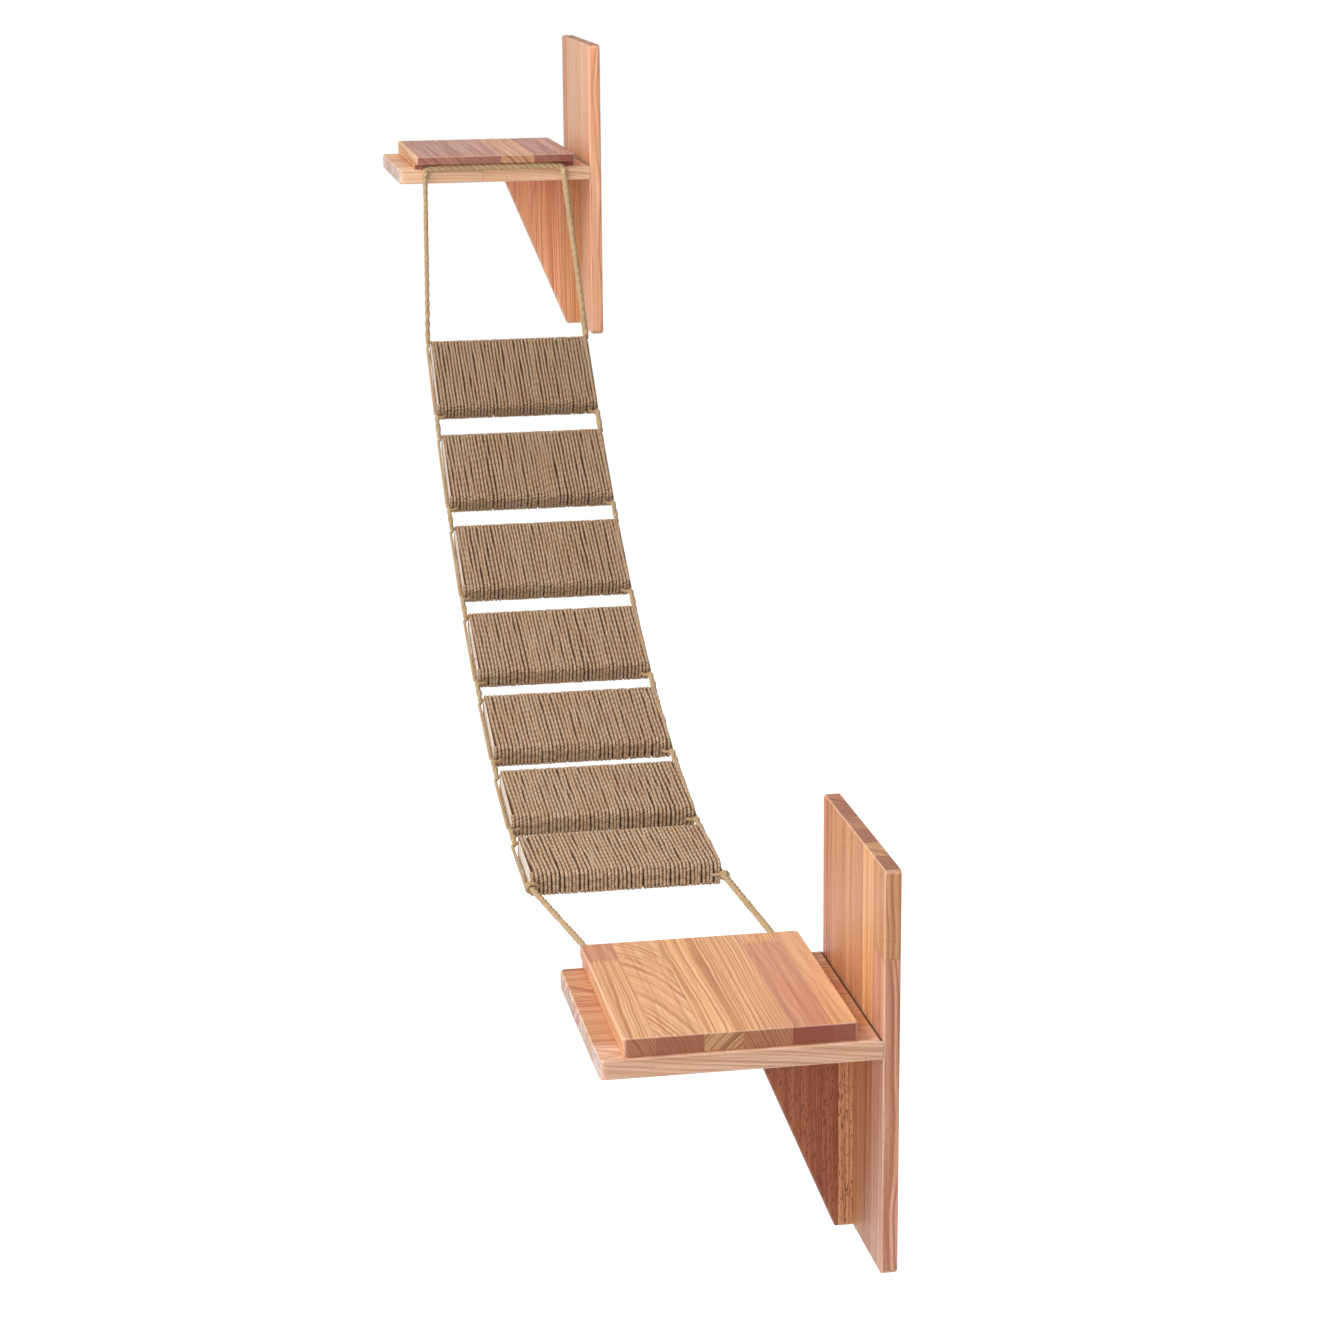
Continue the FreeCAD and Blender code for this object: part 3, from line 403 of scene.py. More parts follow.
class Wood(Material):
    """Edge-glued, finger-jointed wood for one board, with each block grown round its own pith."""

    def __init__(self, name, node, along, across):
        super().__init__(name)
        through = next(axis for axis in AXES if axis not in (along, across))
        order = [AXES.index(axis) for axis in (along, across, through)]
        low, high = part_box(node)
        place = self.new("ShaderNodeTexCoord")
        here = self.split(place.outputs["Object"])
        # Distances along the grain, across the staves and through the board
        self.u, self.v, self.w = [self.math("SUBTRACT", here[axis], low[axis]) for axis in order]
        self.length, self.width = [high[axis] - low[axis] for axis in order[:2]]
        self.normal = self.split(place.outputs["Normal"])
        self.end = self.between(self.math("ABSOLUTE", self.normal[order[0]]), *END_FACING)

    def grain(self, kind, shift):
        """Noise drawn out along the grain."""
        along = self.math("MULTIPLY", self.u, kind.along)
        across = self.math("MULTIPLY", self.v, kind.across)
        through = self.math("MULTIPLY_ADD", self.w, kind.across, shift)
        return self.noise(self.vector(along, across, through), 1.0, kind.detail, kind.roughness)

    def divide(self, staves, seed):
        """Read the cut and the tone of each block from ramps across the staves."""
        total = sum(stave.width for stave in staves)
        edges = np.cumsum([0.0] + [stave.width / total for stave in staves])
        share = self.math("DIVIDE", self.v, self.width)

        def look_up(pick):
            """Colour and alpha that pick gives for the stave at each point."""
            return self.steps(share, edges[:-1], [pick(index, stave) for index, stave in enumerate(staves)])

        def layout_colour(index, stave):
            chance = (STAVE_SHIFT * index + BOARD_SHIFT * seed) % 1.0
            return ((edges[index] + edges[index + 1]) / 2, stave.joint, 0.0, chance)

        layout, chance = look_up(layout_colour)
        middle, joint = self.split(layout)[:2]
        cut_here = look_up(lambda index, stave: cut_colour(stave.cut))
        cut_before = look_up(lambda index, stave: cut_colour(stave.before_cut))
        tone_here = look_up(lambda index, stave: tone_colour(stave.tone, stave.cut))
        tone_before = look_up(lambda index, stave: tone_colour(stave.before_tone, stave.before_cut))
        finger = self.math("MULTIPLY", self.math("PINGPONG", self.v, FINGER_HALF_PITCH), FINGER_SLOPE)
        joint_place = self.math("MULTIPLY", joint, self.length)
        from_joint = self.math("SUBTRACT", self.math("ADD", self.u, finger), joint_place)
        before = self.math("LESS_THAN", from_joint, 0.0)
        pith, depth, ring = self.split(self.mix(before, cut_here[0], cut_before[0]))
        lean = self.blend(before, tone_here[1], tone_before[1])
        self.middle = self.math("MULTIPLY", middle, self.width)
        self.pith = self.math("MULTIPLY_ADD", pith, 2 * PITH_RANGE, -PITH_RANGE)
        self.depth = self.math("MULTIPLY", depth, DEPTH_RANGE)
        self.ring = self.math("MULTIPLY", ring, RING_RANGE)
        self.lean = self.math("MULTIPLY_ADD", lean, 2 * LEAN_RANGE, -LEAN_RANGE)
        self.contrast = self.blend(before, cut_here[1], cut_before[1])
        self.tone = self.mix(before, tone_here[0], tone_before[0])
        block_shift = self.math("MULTIPLY", before, BLOCK_SHIFT)
        self.shift = self.math("MULTIPLY_ADD", chance, CHANCE_SPREAD, block_shift)
        self.seam = self.glue_lines(edges[1:-1], from_joint)

    def glue_lines(self, edges, from_joint):
        """1 on the lines between staves and at finger joints."""
        seam = self.between(self.math("ABSOLUTE", from_joint), *JOINT_LINE)
        for edge in edges:
            near = self.math("ABSOLUTE", self.math("SUBTRACT", self.v, float(edge * self.width)))
            seam = self.math("MAXIMUM", seam, self.between(near, *STAVE_LINE))
        return seam

    def by_year(self, reach, shift, per_metre, detail):
        """Noise that changes from year to year."""
        return self.noise(self.vector(self.math("MULTIPLY", reach, per_metre), shift, 0.0), 1.0, detail)

    def grow(self, flecks):
        """Growth rings round the pith, fibres and pores."""
        wander = self.grain(WANDER, self.shift)
        off_v = self.math("SUBTRACT", self.math("SUBTRACT", self.v, self.middle), self.pith)
        rise = self.math("MULTIPLY", self.math("SUBTRACT", self.u, self.length / 2), self.lean)
        off_w = self.math("ADD", self.math("ADD", self.w, self.depth), rise)
        squares = self.math("ADD", self.math("MULTIPLY", off_v, off_v), self.math("MULTIPLY", off_w, off_w))
        reach = self.math("MULTIPLY_ADD", wander, RING_STRAY, self.math("SQRT", squares))
        growth = self.by_year(reach, self.shift, *GROWTH_NOISE)
        years = self.math("MULTIPLY_ADD", growth, GROWTH_SPREAD, self.math("DIVIDE", reach, self.ring))
        phase = self.math("FRACT", years)
        late = self.math("MULTIPLY", self.between(phase, *LATE_RISE), self.between(phase, *LATE_END))
        strong = self.by_year(reach, self.math("ADD", self.shift, STRENGTH_SHIFT), *STRENGTH_NOISE)
        self.late = self.math("MULTIPLY", late, self.between(strong, *STRENGTH_RANGE, LEAST_STRENGTH, 1.0))
        self.fibres = self.grain(FIBRES, 0.0)
        self.pores = self.grain(PORES, self.shift)
        limit = FLECK_LIMIT - FLECK_EASING * flecks
        self.fleck = self.between(self.pores, limit, limit + FLECK_EDGE)

    def face_colour(self, flecks, streaky):
        """Late wood, streaks, flecks and glue lines darken the tone of each block."""
        clouds = self.grain(CLOUDS, self.shift)
        streaks = self.grain(STREAKS, self.shift)
        late_tone = self.mix(1.0, self.tone, LATE_WOOD, "MULTIPLY")
        warm_tone = self.mix(1.0, self.tone, WARM_WOOD, "MULTIPLY")
        colour = self.mix(self.math("MULTIPLY", self.late, self.contrast), self.tone, late_tone)
        colour = self.mix(self.between(clouds, *CLOUD_RANGE, 0.0, CLOUD_SHARE), colour, warm_tone)
        colour = self.mix(self.between(streaks, *STREAK_RANGE, 0.0, streaky), colour, late_tone)
        colour = self.mix(self.between(self.fibres, *FIBRE_RANGE, 0.0, FIBRE_SHARE), colour, late_tone)
        colour = self.mix(self.math("MULTIPLY", self.fleck, flecks), colour, FLECK_COLOUR)
        return self.mix(self.math("MULTIPLY", self.seam, GLUE_SHARE), colour, GLUE_COLOUR)

    def end_grain(self, end_colour):
        """End grain takes the given end colour, which is painted light on the shelves and slats, and shows
        the rings cut across.
        """
        late_tone = self.mix(1.0, self.tone, LATE_END_WOOD, "MULTIPLY")
        colour = self.mix(self.between(self.contrast, *END_CONTRAST, *END_SHARE), self.tone, end_colour)
        ring_share = self.between(self.contrast, *END_RING_CONTRAST, *END_RING_SHARE, smooth=False)
        colour = self.mix(self.math("MULTIPLY", self.late, ring_share), colour, late_tone)
        return self.mix(self.between(self.pores, *END_PORE_RANGE, 0.0, END_PORE_SHARE), colour, late_tone)

    def at_arrises(self):
        """Share of the paler colour on rounded edges, which face along no axis: partly wear, partly painted
        highlight.
        """
        square = 0.0
        for part in self.normal:
            square = self.math("MAXIMUM", square, self.math("ABSOLUTE", part))
        return self.between(square, *ARRIS_FACING, 0.0, ARRIS_SHARE)

    def painted_wall_shade(self):
        """Painted shade: 1 along the rear of the upper face, where the gap to the wall board is in shadow."""
        begin, full = (self.length - distance for distance in GAP_FROM_REAR)
        facing_up = self.between(self.normal[2], *GAP_FACING)
        return self.math("MULTIPLY", self.between(self.u, begin, full), facing_up)

    def polish(self):
        """Gloss and relief of the grain."""
        late_rough = self.math("MULTIPLY", self.late, LATE_ROUGHNESS)
        rough = self.math("MULTIPLY_ADD", self.fibres, FIBRE_ROUGHNESS, late_rough)
        base = self.between(self.end, 0.0, 1.0, *WOOD_ROUGHNESS, smooth=False)
        self.surface("Roughness", self.math("ADD", rough, base))
        self.surface("Specular IOR Level", WOOD_SPECULAR)
        late_height = self.math("MULTIPLY", self.late, LATE_HEIGHT)
        height = self.math("MULTIPLY_ADD", self.fibres, FIBRE_HEIGHT, late_height)
        height = self.math("SUBTRACT", height, self.math("MULTIPLY", self.seam, SEAM_DEPTH))
        height = self.math("SUBTRACT", height, self.math("MULTIPLY", self.fleck, FLECK_DEPTH))
        self.bump(height, WOOD_RELIEF)


def wood(name, node, along, across, staves, end_colour, flecks, streaky, seed=0, wear_and_highlight=False, gap=False,
         covered_shade=None):
    """Wood for one board. Faces that something hides, all but the ends, get the given colour of painted
    shade.
    """
    n = Wood(name, node, along, across)
    n.divide(staves, seed)
    n.grow(flecks)
    colour = n.mix(n.end, n.face_colour(flecks, streaky), n.end_grain(end_colour))
    if wear_and_highlight:
        # Paler arrises: partly wear, partly painted highlight
        colour = n.mix(n.at_arrises(), colour, ARRIS_WEAR_AND_HIGHLIGHT)
    # Painted shade along the shelf's rear, in the gap to the wall board
    if gap:
        colour = n.mix(n.painted_wall_shade(), colour, GAP_SHADE_COLOUR)
    # Painted shade on the hidden faces, seen between the twine's turns
    if covered_shade:
        colour = n.mix(n.end, covered_shade, colour)
    n.surface("Base Color", colour)
    n.polish()
    return n.material


# Jute

# Noise along and round the plies, and in space, in cycles per metre
JUTE_STREAKS = (70.0, 2300.0, 2300.0)
JUTE_TONES = (26.0, 60.0, 60.0)
JUTE_PATCHES = 34.0
JUTE_HAIRS = 1400.0
# Where each of these shows in its noise, and how strongly
JUTE_STREAK_RANGE = (0.34, 0.68)
JUTE_TONE_RANGE = (0.38, 0.70)
JUTE_TONE_SHARE = 0.55
JUTE_PATCH_RANGE = (0.36, 0.66)
JUTE_PATCH_SHARE = 0.26
JUTE_HAIR_RANGE = (0.62, 0.76)
HAIR_COLOUR = srgb(226, 204, 168)
CREVICE_SHARE = 0.92
JUTE_ROUGHNESS = (0.72, 0.94)
ROUGHNESS_RANGE = (0.2, 0.8)
JUTE_SPECULAR = 0.25
SHEEN_ROUGHNESS = 0.5
SHEEN_COLOUR = srgb(244, 208, 160)
HAIR_HEIGHT = 0.5
JUTE_RELIEF = 0.00035
JUTE_BUMP = 0.9


def jute(name, light, dark, crevice_shade_colour, fuzz, sheen):
    """Spun plant fibre: streaks along each ply, uneven tone, painted shade in the crevices and a soft sheen.
    """
    n = Material(name)
    fibre = n.new("ShaderNodeAttribute", attribute_name="fibre").outputs["Vector"]
    crevice_shade = n.new("ShaderNodeAttribute", attribute_name="crevice_shade").outputs["Fac"]
    place = n.new("ShaderNodeTexCoord").outputs["Object"]
    streak = n.noise(n.scaled(fibre, JUTE_STREAKS), detail=4.0, roughness=0.65)
    tone = n.noise(n.scaled(fibre, JUTE_TONES))
    patch = n.noise(place, JUTE_PATCHES)
    hair = n.noise(place, JUTE_HAIRS)
    colour = n.mix(n.between(streak, *JUTE_STREAK_RANGE), dark, light)
    colour = n.mix(n.between(tone, *JUTE_TONE_RANGE, 0.0, JUTE_TONE_SHARE), colour, dark)
    colour = n.mix(n.between(patch, *JUTE_PATCH_RANGE, 0.0, JUTE_PATCH_SHARE), colour, light)
    colour = n.mix(n.between(hair, *JUTE_HAIR_RANGE, 0.0, fuzz), colour, HAIR_COLOUR)
    # Painted shade in the crevices between plies and between neighbouring turns
    colour = n.mix(n.math("MULTIPLY", crevice_shade, CREVICE_SHARE), colour, crevice_shade_colour)
    n.surface("Base Color", colour)
    n.surface("Roughness", n.between(streak, *ROUGHNESS_RANGE, *JUTE_ROUGHNESS, smooth=False))
    n.surface("Specular IOR Level", JUTE_SPECULAR)
    # Loose hairs catch the light at a shallow angle
    n.surface("Sheen Weight", sheen)
    n.surface("Sheen Roughness", SHEEN_ROUGHNESS)
    n.surface("Sheen Tint", SHEEN_COLOUR)
    n.bump(n.math("ADD", streak, n.math("MULTIPLY", hair, HAIR_HEIGHT)), JUTE_RELIEF, JUTE_BUMP)
    return n.material


# Plated steel

ZINC = srgb(206, 205, 200)
YELLOW_ZINC = srgb(208, 196, 158)
ZINC_BRUSHING = (90.0, 90.0, 2400.0)
ZINC_SPOTS = 240.0
ZINC_SPOT_RANGE = (0.35, 0.70)
DULL_ZINC = srgb(150, 148, 142)
BRUSHING_RANGE = (0.25, 0.75)
ZINC_ROUGHNESS = (0.26, 0.46)
ZINC_RELIEF = 0.00005


def zinc(name, tint):
    """Zinc-plated steel with fine brushing and dull spots."""
    n = Material(name)
    place = n.new("ShaderNodeTexCoord").outputs["Object"]
    brushed = n.noise(n.scaled(place, ZINC_BRUSHING), detail=3.0, roughness=0.6)
    spots = n.noise(place, ZINC_SPOTS, detail=3.0)
    n.surface("Base Color", n.mix(n.between(spots, *ZINC_SPOT_RANGE), tint, DULL_ZINC))
    n.surface("Metallic", 1.0)
    n.surface("Roughness", n.between(brushed, *BRUSHING_RANGE, *ZINC_ROUGHNESS, smooth=False))
    n.bump(brushed, ZINC_RELIEF)
    return n.material


# Boards and fasteners

# Each board's axes along and across the grain, and its staves
BOARDS = {
    "lower_tread": ("X", "Y", [
        Stave(28, "fine", "honey", 0.21, "plain", "ruddy"),
        Stave(42, "feathered", "honey", 0.21, "feathered", "honey"),
        Stave(33, "striped", "golden"), Stave(43, "fine", "honey"),
        Stave(35, "plain", "ruddy", 0.13, "fine", "honey"), Stave(23, "plain", "honey")]),
    "upper_tread": ("X", "Y", [
        Stave(4, "plain", "golden"), Stave(24, "slanted", "mauve"), Stave(32, "slanted", "mauve"),
        Stave(46, "fine", "rose"), Stave(42, "slanted", "honey"), Stave(30, "fine", "mauve"),
        Stave(22, "plain", "rose")]),
    "lower_shelf_board": ("Y", "X", [
        Stave(38, "striped", "amber"), Stave(40, "feathered", "amber"), Stave(38, "striped", "ruddy"),
        Stave(40, "fine", "amber"), Stave(36, "striped", "amber"), Stave(38, "cathedral", "pale")]),
    "upper_shelf_board": ("Y", "X", [
        Stave(40, "plain", "honey"), Stave(38, "striped", "honey"), Stave(38, "fine", "amber"),
        Stave(40, "plain", "honey"), Stave(36, "fine", "honey"),
        Stave(38, "cathedral", "light", 0.45, "plain", "light")]),
    "lower_back_board": ("Z", "X", [
        Stave(36, "striped", "ruddy"), Stave(40, "fine", "amber"), Stave(36, "striped", "amber"),
        Stave(40, "fine", "amber"), Stave(38, "striped", "golden", 0.52, "striped", "ruddy"),
        Stave(40, "fine", "amber", 0.795, "fine", "blush")]),
    "upper_back_board": ("Z", "X", [
        Stave(40, "striped", "ruddy"), Stave(36, "fine", "honey"), Stave(40, "striped", "pale"),
        Stave(38, "fine", "honey"), Stave(36, "striped", "pale"), Stave(40, "fine", "coral")]),
    "lower_bracket": ("Z", "Y", [
        Stave(52, "plain", "brown"), Stave(34, "fine", "brown"), Stave(14, "fine", "amber")]),
    "upper_bracket": ("Z", "Y", [
        Stave(44, "plain", "coral"), Stave(34, "fine", "coral"), Stave(22, "fine", "honey")]),
}
FLECKS = 0.2
FLECKED = {"lower_bracket": 0.85, "lower_back_board": 0.4, "upper_tread": 0.9}
STREAKINESS = 0.34
STREAKY = {"upper_tread": 0.80, "upper_bracket": 0.30, "lower_bracket": 0.50, "lower_back_board": 0.46}
# End grain of the treads and wall boards is much darker than their faces. The ends of the shelves and slats
# are painted near white: painted light, the glare of strong light on them
END_COLOURS = {
    "tread": srgb(138, 60, 50),
    "back_board": srgb(132, 60, 52),
    # Painted light: the shelves' ends are painted near white
    "shelf_board": srgb(226, 216, 212),
    "bracket": srgb(180, 118, 90),
    # Painted light: the slats' ends are painted near white
    "slat": srgb(255, 246, 230),
}
# A slat is one piece. Twine covers all but its ends, and leaves only shade to be seen between its turns.
SLAT_STAVES = [Stave(100, "plain", "light")]
TWINE_SHADE = srgb(92, 56, 32)


def dress(node, material):
    """Give a carried-over CAD node its material."""
    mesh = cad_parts[node].data
    mesh.materials.clear()
    mesh.materials.append(material)


def dress_boards():
    for number, (node, (along, across, staves)) in enumerate(BOARDS.items()):
        kind = node.split("_", 1)[1]
        dress(node, wood(node + "_wood", node, along, across, staves, END_COLOURS[kind],
                         FLECKED.get(node, FLECKS), STREAKY.get(node, STREAKINESS), number,
                         wear_and_highlight=kind != "bracket", gap=kind == "shelf_board"))


def dress_slats_and_fasteners():
    slat_wood = wood("slat_wood", "slat_4_board", "Y", "X", SLAT_STAVES, END_COLOURS["slat"], FLECKS,
                     STREAKINESS, covered_shade=TWINE_SHADE)
    plated = zinc("plated_steel", ZINC)
    yellow_plated = zinc("yellow_plated_steel", YELLOW_ZINC)
    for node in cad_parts:
        if node.endswith("hangers"):
            dress(node, plated)
        elif node.endswith("screws"):
            dress(node, yellow_plated)
        elif node.startswith("slat") and node.endswith("board"):
            dress(node, slat_wood)


dress_boards()
dress_slats_and_fasteners()
TWINE_JUTE = jute("twine_jute", light=srgb(255, 232, 198), dark=srgb(226, 172, 127), crevice_shade_colour=srgb(76, 42, 22),
                  fuzz=0.36, sheen=0.30)
ROPE_JUTE = jute("rope_jute", light=srgb(236, 206, 164), dark=srgb(202, 168, 124), crevice_shade_colour=srgb(126, 94, 60),
                 fuzz=0.25, sheen=0.18)

# Cords: lines of points along a smooth spline, and laid plies swept along them

SPLINE_STEPS = 40
NEARLY_UPRIGHT = 0.1

# Plies, the length in which they turn once, sides of the mesh, and how uneven the cord is
Lay = namedtuple("Lay", "plies length sides wobble")
STRAND_LAY = Lay(3, 0.010, 9, 0.05)
KNOT_LAY = Lay(3, 0.010, 10, 0.05)
BAR_LAY = Lay(3, 0.026, 15, 0.09)
TWINE_LAY = Lay(2, 0.0064, 6, 0.06)
# Depth of the grooves between so many plies, as a share of the radius
PLY_DEPTH = {2: 0.30, 3: 0.18}
# The cord's thickness changes from step to step, and the steps run on past its end
SWELL_STEP = 0.011
SWELL_BEYOND = 0.02
# From which depth of a groove painted shade darkens it, and from how far round towards the neighbouring turns
GROOVE_FROM = 0.35
BESIDE_FROM = 0.50
BESIDE_FADE = 0.35


def spline_points(route):
    """Points along a smooth spline whose control points are the route's."""
    curve = bpy.data.curves.new("route", "CURVE")
    curve.dimensions = "3D"
    spline = curve.splines.new("NURBS")
    spline.points.add(len(route) - 1)
    for point, place in zip(spline.points, route):
        point.co = (*place, 1.0)
    spline.order_u = 3
    spline.use_endpoint_u = True
    spline.resolution_u = SPLINE_STEPS
    holder = bpy.data.objects.new("route", curve)
    mesh = bpy.data.meshes.new_from_object(holder)
    points = np.array([vertex.co for vertex in mesh.vertices])
    bpy.data.objects.remove(holder)
    bpy.data.curves.remove(curve)
    bpy.data.meshes.remove(mesh)
    return points


def lengths(points):
    """Distance along a line of points, from its start."""
    steps = np.linalg.norm(np.diff(points, axis=0), axis=1)
    return np.concatenate([[0.0], np.cumsum(steps)])


def evenly(points, spacing):
    """The same line with evenly spaced points, and any further columns carried along."""
    along = lengths(points[:, :3])
    count = max(2, int(round(along[-1] / spacing)) + 1)
    wanted = np.linspace(0.0, along[-1], count)
    return np.stack([np.interp(wanted, along, column) for column in points.T], axis=1)


def tangents(points):
    slopes = np.gradient(points, axis=0)
    return slopes / np.linalg.norm(slopes, axis=1)[:, None]


def cross_directions(points):
    """Two steady directions across the line at each point."""
    ahead = tangents(points)
    first = np.cross(ahead[0], (0.0, 0.0, 1.0))
    if np.linalg.norm(first) < NEARLY_UPRIGHT:
        first = np.cross(ahead[0], (1.0, 0.0, 0.0))
    across = np.empty_like(points)
    previous = first
    for index, direction in enumerate(ahead):
        previous = previous - direction * np.dot(previous, direction)
        previous = previous / np.linalg.norm(previous)
        across[index] = previous
    return across, np.cross(ahead, across)


def tube_faces(rows, sides):
    """Faces of a closed tube whose vertices stand in rows round it."""
    faces = []
    for row in range(rows - 1):
        base = row * sides
        for column in range(sides):
            following = (column + 1) % sides
            faces.append((base + column, base + following, base + sides + following, base + sides + column))
    last = (rows - 1) * sides
    faces.append(tuple(range(sides - 1, -1, -1)))
    faces.append(tuple(range(last, last + sides)))
    return faces


def laid_mesh(name, points, diameter, lay, shade_strength=1.0, beside=None):
    """A closed tube along the points, with a section of plies that turns as the lay says.

    diameter is one number or one for each point, the next says how dark the painted shade in the lines
    between plies is, and beside is the direction in which its neighbours lie, where it is one of many turns,
    whose sides facing them get painted shade too."""
    across, other = cross_directions(points)
    along = lengths(points)
    angle = np.linspace(0.0, 2 * math.pi, lay.sides, endpoint=False)
    dip = 0.5 - 0.5 * np.cos(lay.plies * angle)
    knots = np.arange(0.0, along[-1] + SWELL_BEYOND, SWELL_STEP)
    swell = 1.0 + lay.wobble * np.interp(along, knots, random.uniform(-1, 1, len(knots)))
    spread = (angle[None, :] + 2 * math.pi * along[:, None] / lay.length)[:, :, None]
    outward = np.cos(spread) * across[:, None, :] + np.sin(spread) * other[:, None, :]
    half_girth = (np.broadcast_to(diameter, len(points)) * swell)[:, None] / 2
    radius = half_girth * (1.0 - PLY_DEPTH[lay.plies] * dip)[None, :]
    ring = points[:, None, :] + radius[:, :, None] * outward
    # Painted shade, darkest deep in the grooves between plies and on sides that face neighbouring turns
    shade = shade_strength * np.clip((dip - GROOVE_FROM) / (1 - GROOVE_FROM), 0.0, 1.0)
    crevice_shade = np.repeat(shade[None, :], len(points), axis=0)
    if beside is not None:
        sideways = (np.abs(outward @ beside) - BESIDE_FROM) / BESIDE_FADE
        crevice_shade = np.maximum(crevice_shade, np.clip(sideways, 0.0, 1.0))
    vertices = [tuple(vertex) for vertex in ring.reshape(-1, 3)]
    mesh = bpy.data.meshes.new(name)
    mesh.from_pydata(vertices, [], tube_faces(len(points), lay.sides))
    mesh.polygons.foreach_set("use_smooth", [True] * len(mesh.polygons))
    fibre = np.stack([np.repeat(along[:, None], lay.sides, axis=1), half_girth * np.cos(angle),
                      half_girth * np.sin(angle)], axis=2)
    mesh.attributes.new("fibre", "FLOAT_VECTOR", "POINT").data.foreach_set("vector", fibre.ravel())
    mesh.attributes.new("crevice_shade", "FLOAT", "POINT").data.foreach_set("value", crevice_shade.ravel())
    mesh.update()
    return mesh


def add_piece(name, mesh, material, body, replaced):
    piece = bpy.data.objects.new(name, mesh)
    bpy.context.collection.objects.link(piece)
    mesh.materials.append(material)
    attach(piece, body)
    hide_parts(replaced)
    return piece


def at(point, y):
    """A point of the ladder's layout at a distance from the wall."""
    return np.array([point[0], y, point[2]])


def toward(point, target, distance):
    """The point so far from one point towards another."""
    return point + (target - point) * distance / np.linalg.norm(target - point)


# Knots at the lower corners of the last slat

KNOT_FROM_JOIN = 0.0062
KNOT_WRAPS = {"left": 2.4, "right": 1.7}
KNOT_RADIUS = {"left": 0.0046, "right": 0.0034}
KNOT_STRAND = {"left": 0.0042, "right": 0.0036}
KNOT_HALF_LENGTH = 0.0040
KNOT_CROSSING = 0.0016
KNOT_BULGE = 0.0007
KNOT_POINTS = 90
KNOT_STEP = 0.0009


def knot_line(side_name):
    """A strand wrapped tight round the rope, with its wraps crossing."""
    side = SIDES[side_name]
    rope_y = LADDER_Y + side * (SLAT_LENGTH / 2 + ROPE_STAND_OFF)
    join = at(LAST_EDGE + BOTTOM_DIRECTION * STRAND_JOIN, rope_y)
    finish = at(LOWER_ANCHOR, LOWER_ANCHOR_Y[side_name])
    along = (finish - join) / np.linalg.norm(finish - join)
    centre = join + along * KNOT_FROM_JOIN
    sideways = np.cross(along, (0.0, 0.0, 1.0))
    sideways = sideways / np.linalg.norm(sideways)
    upward = np.cross(sideways, along)
    points = []
    for share in np.linspace(0.0, 1.0, KNOT_POINTS):
        angle = 2 * math.pi * KNOT_WRAPS[side_name] * share
        radius = KNOT_RADIUS[side_name] + KNOT_BULGE * math.sin(angle / 2)
        offset = KNOT_HALF_LENGTH * (2 * share - 1) + KNOT_CROSSING * math.sin(angle)
        outward = math.cos(angle) * sideways + math.sin(angle) * upward
        points.append(centre + along * offset + radius * outward)
    return np.array(points)


def add_knot(side_name):
    node = side_name + "_knot"
    line = evenly(knot_line(side_name), KNOT_STEP)
    mesh = laid_mesh(node + "_mesh", line, KNOT_STRAND[side_name], KNOT_LAY)
    return add_piece(node + "_jute", mesh, ROPE_JUTE, side_name + "_rope", node)


# Ropes of two strands, which are laid round each other between the slats

# Two strands turn once round each other in this length
ROPE_TURN = 0.024
# They start to turn at this half of the distance between them, turn fully when this much closer,
# and are pressed together by this share
LAID_WITHIN = 0.0042
LAID_FADE = 0.0020
PRESSED = 0.48
# How much fuller the strands look in the laid rope, at these shares of its length from the top down
FULLNESS_PLACES = (0.0, 0.16, 0.30, 0.88)
FULLNESS = {"left": (0.44, 0.28, 0.26, 0.34), "right": (1.05, 0.74, 0.26, 0.50)}
STRAND_STEP = 0.0011
STRAND_SHADE = 0.9


def strand_route(side_name, inner):
    """Route of one strand from the upper anchor to the lower anchor, with a point beside each corner."""
    side = SIDES[side_name]
    pair = side * STRAND_PAIR * (-1 if inner else 1)
    slat_end = LADDER_Y + side * SLAT_LENGTH / 2
    rope_y = slat_end + side * ROPE_STAND_OFF + pair
    near = INNER_NEAR if inner else OUTER_NEAR
    top = at(UPPER_ANCHOR, UPPER_ANCHOR_Y[side_name] + pair)
    bottom = at(LOWER_ANCHOR, LOWER_ANCHOR_Y[side_name] + pair)
    join = at(SLATS[0][0] - TOP_DIRECTION * STRAND_JOIN, rope_y)
    route = [top, toward(join, top, near), join]
    for index, (start, angle) in enumerate(SLATS):
        slope = downhill(angle)
        leave = start + slope * SLAT_WIDTH
        beside = slat_end + side * (-BORE_INSET if inner else STAND_OFF[side_name][index])
        enter = at(start - slope * STRAND_LEAD, beside)
        come_out = at(leave + slope * STRAND_LEAD, beside)
        route += [enter, enter + slope * near, come_out - slope * near, come_out]
        if index + 1 < SLAT_COUNT:
            following = SLATS[index + 1][0]
            between = (following - leave) / np.linalg.norm(following - leave)
            join = at(leave + between * STRAND_JOIN, rope_y)
            next_join = at(following - between * STRAND_JOIN, rope_y)
            route += [join, join + between * near, next_join - between * near, next_join]
    join = at(LAST_EDGE + BOTTOM_DIRECTION * STRAND_JOIN, rope_y)
    return route + [join, toward(join, bottom, near), bottom]


def whole_turns(turn, close):
    """The turning of each close stretch, evened to whole turns, so that strands keep their own sides."""
    stretch = np.concatenate([[0], np.cumsum(np.diff((close > 0).astype(int)) != 0)])
    fixed = np.zeros_like(turn)
    offset = 0.0
    for number in np.unique(stretch):
        rows = np.where(stretch == number)[0]
        begin = turn[rows[0]]
        total = turn[rows[-1]] - begin
        whole = 2 * math.pi * max(1, round(total / (2 * math.pi))) if close[rows].max() > 0 else 0.0
        share = (turn[rows] - begin) / total if total > 0 else np.zeros(len(rows))
        fixed[rows] = offset + share * whole
        offset += whole
    return fixed


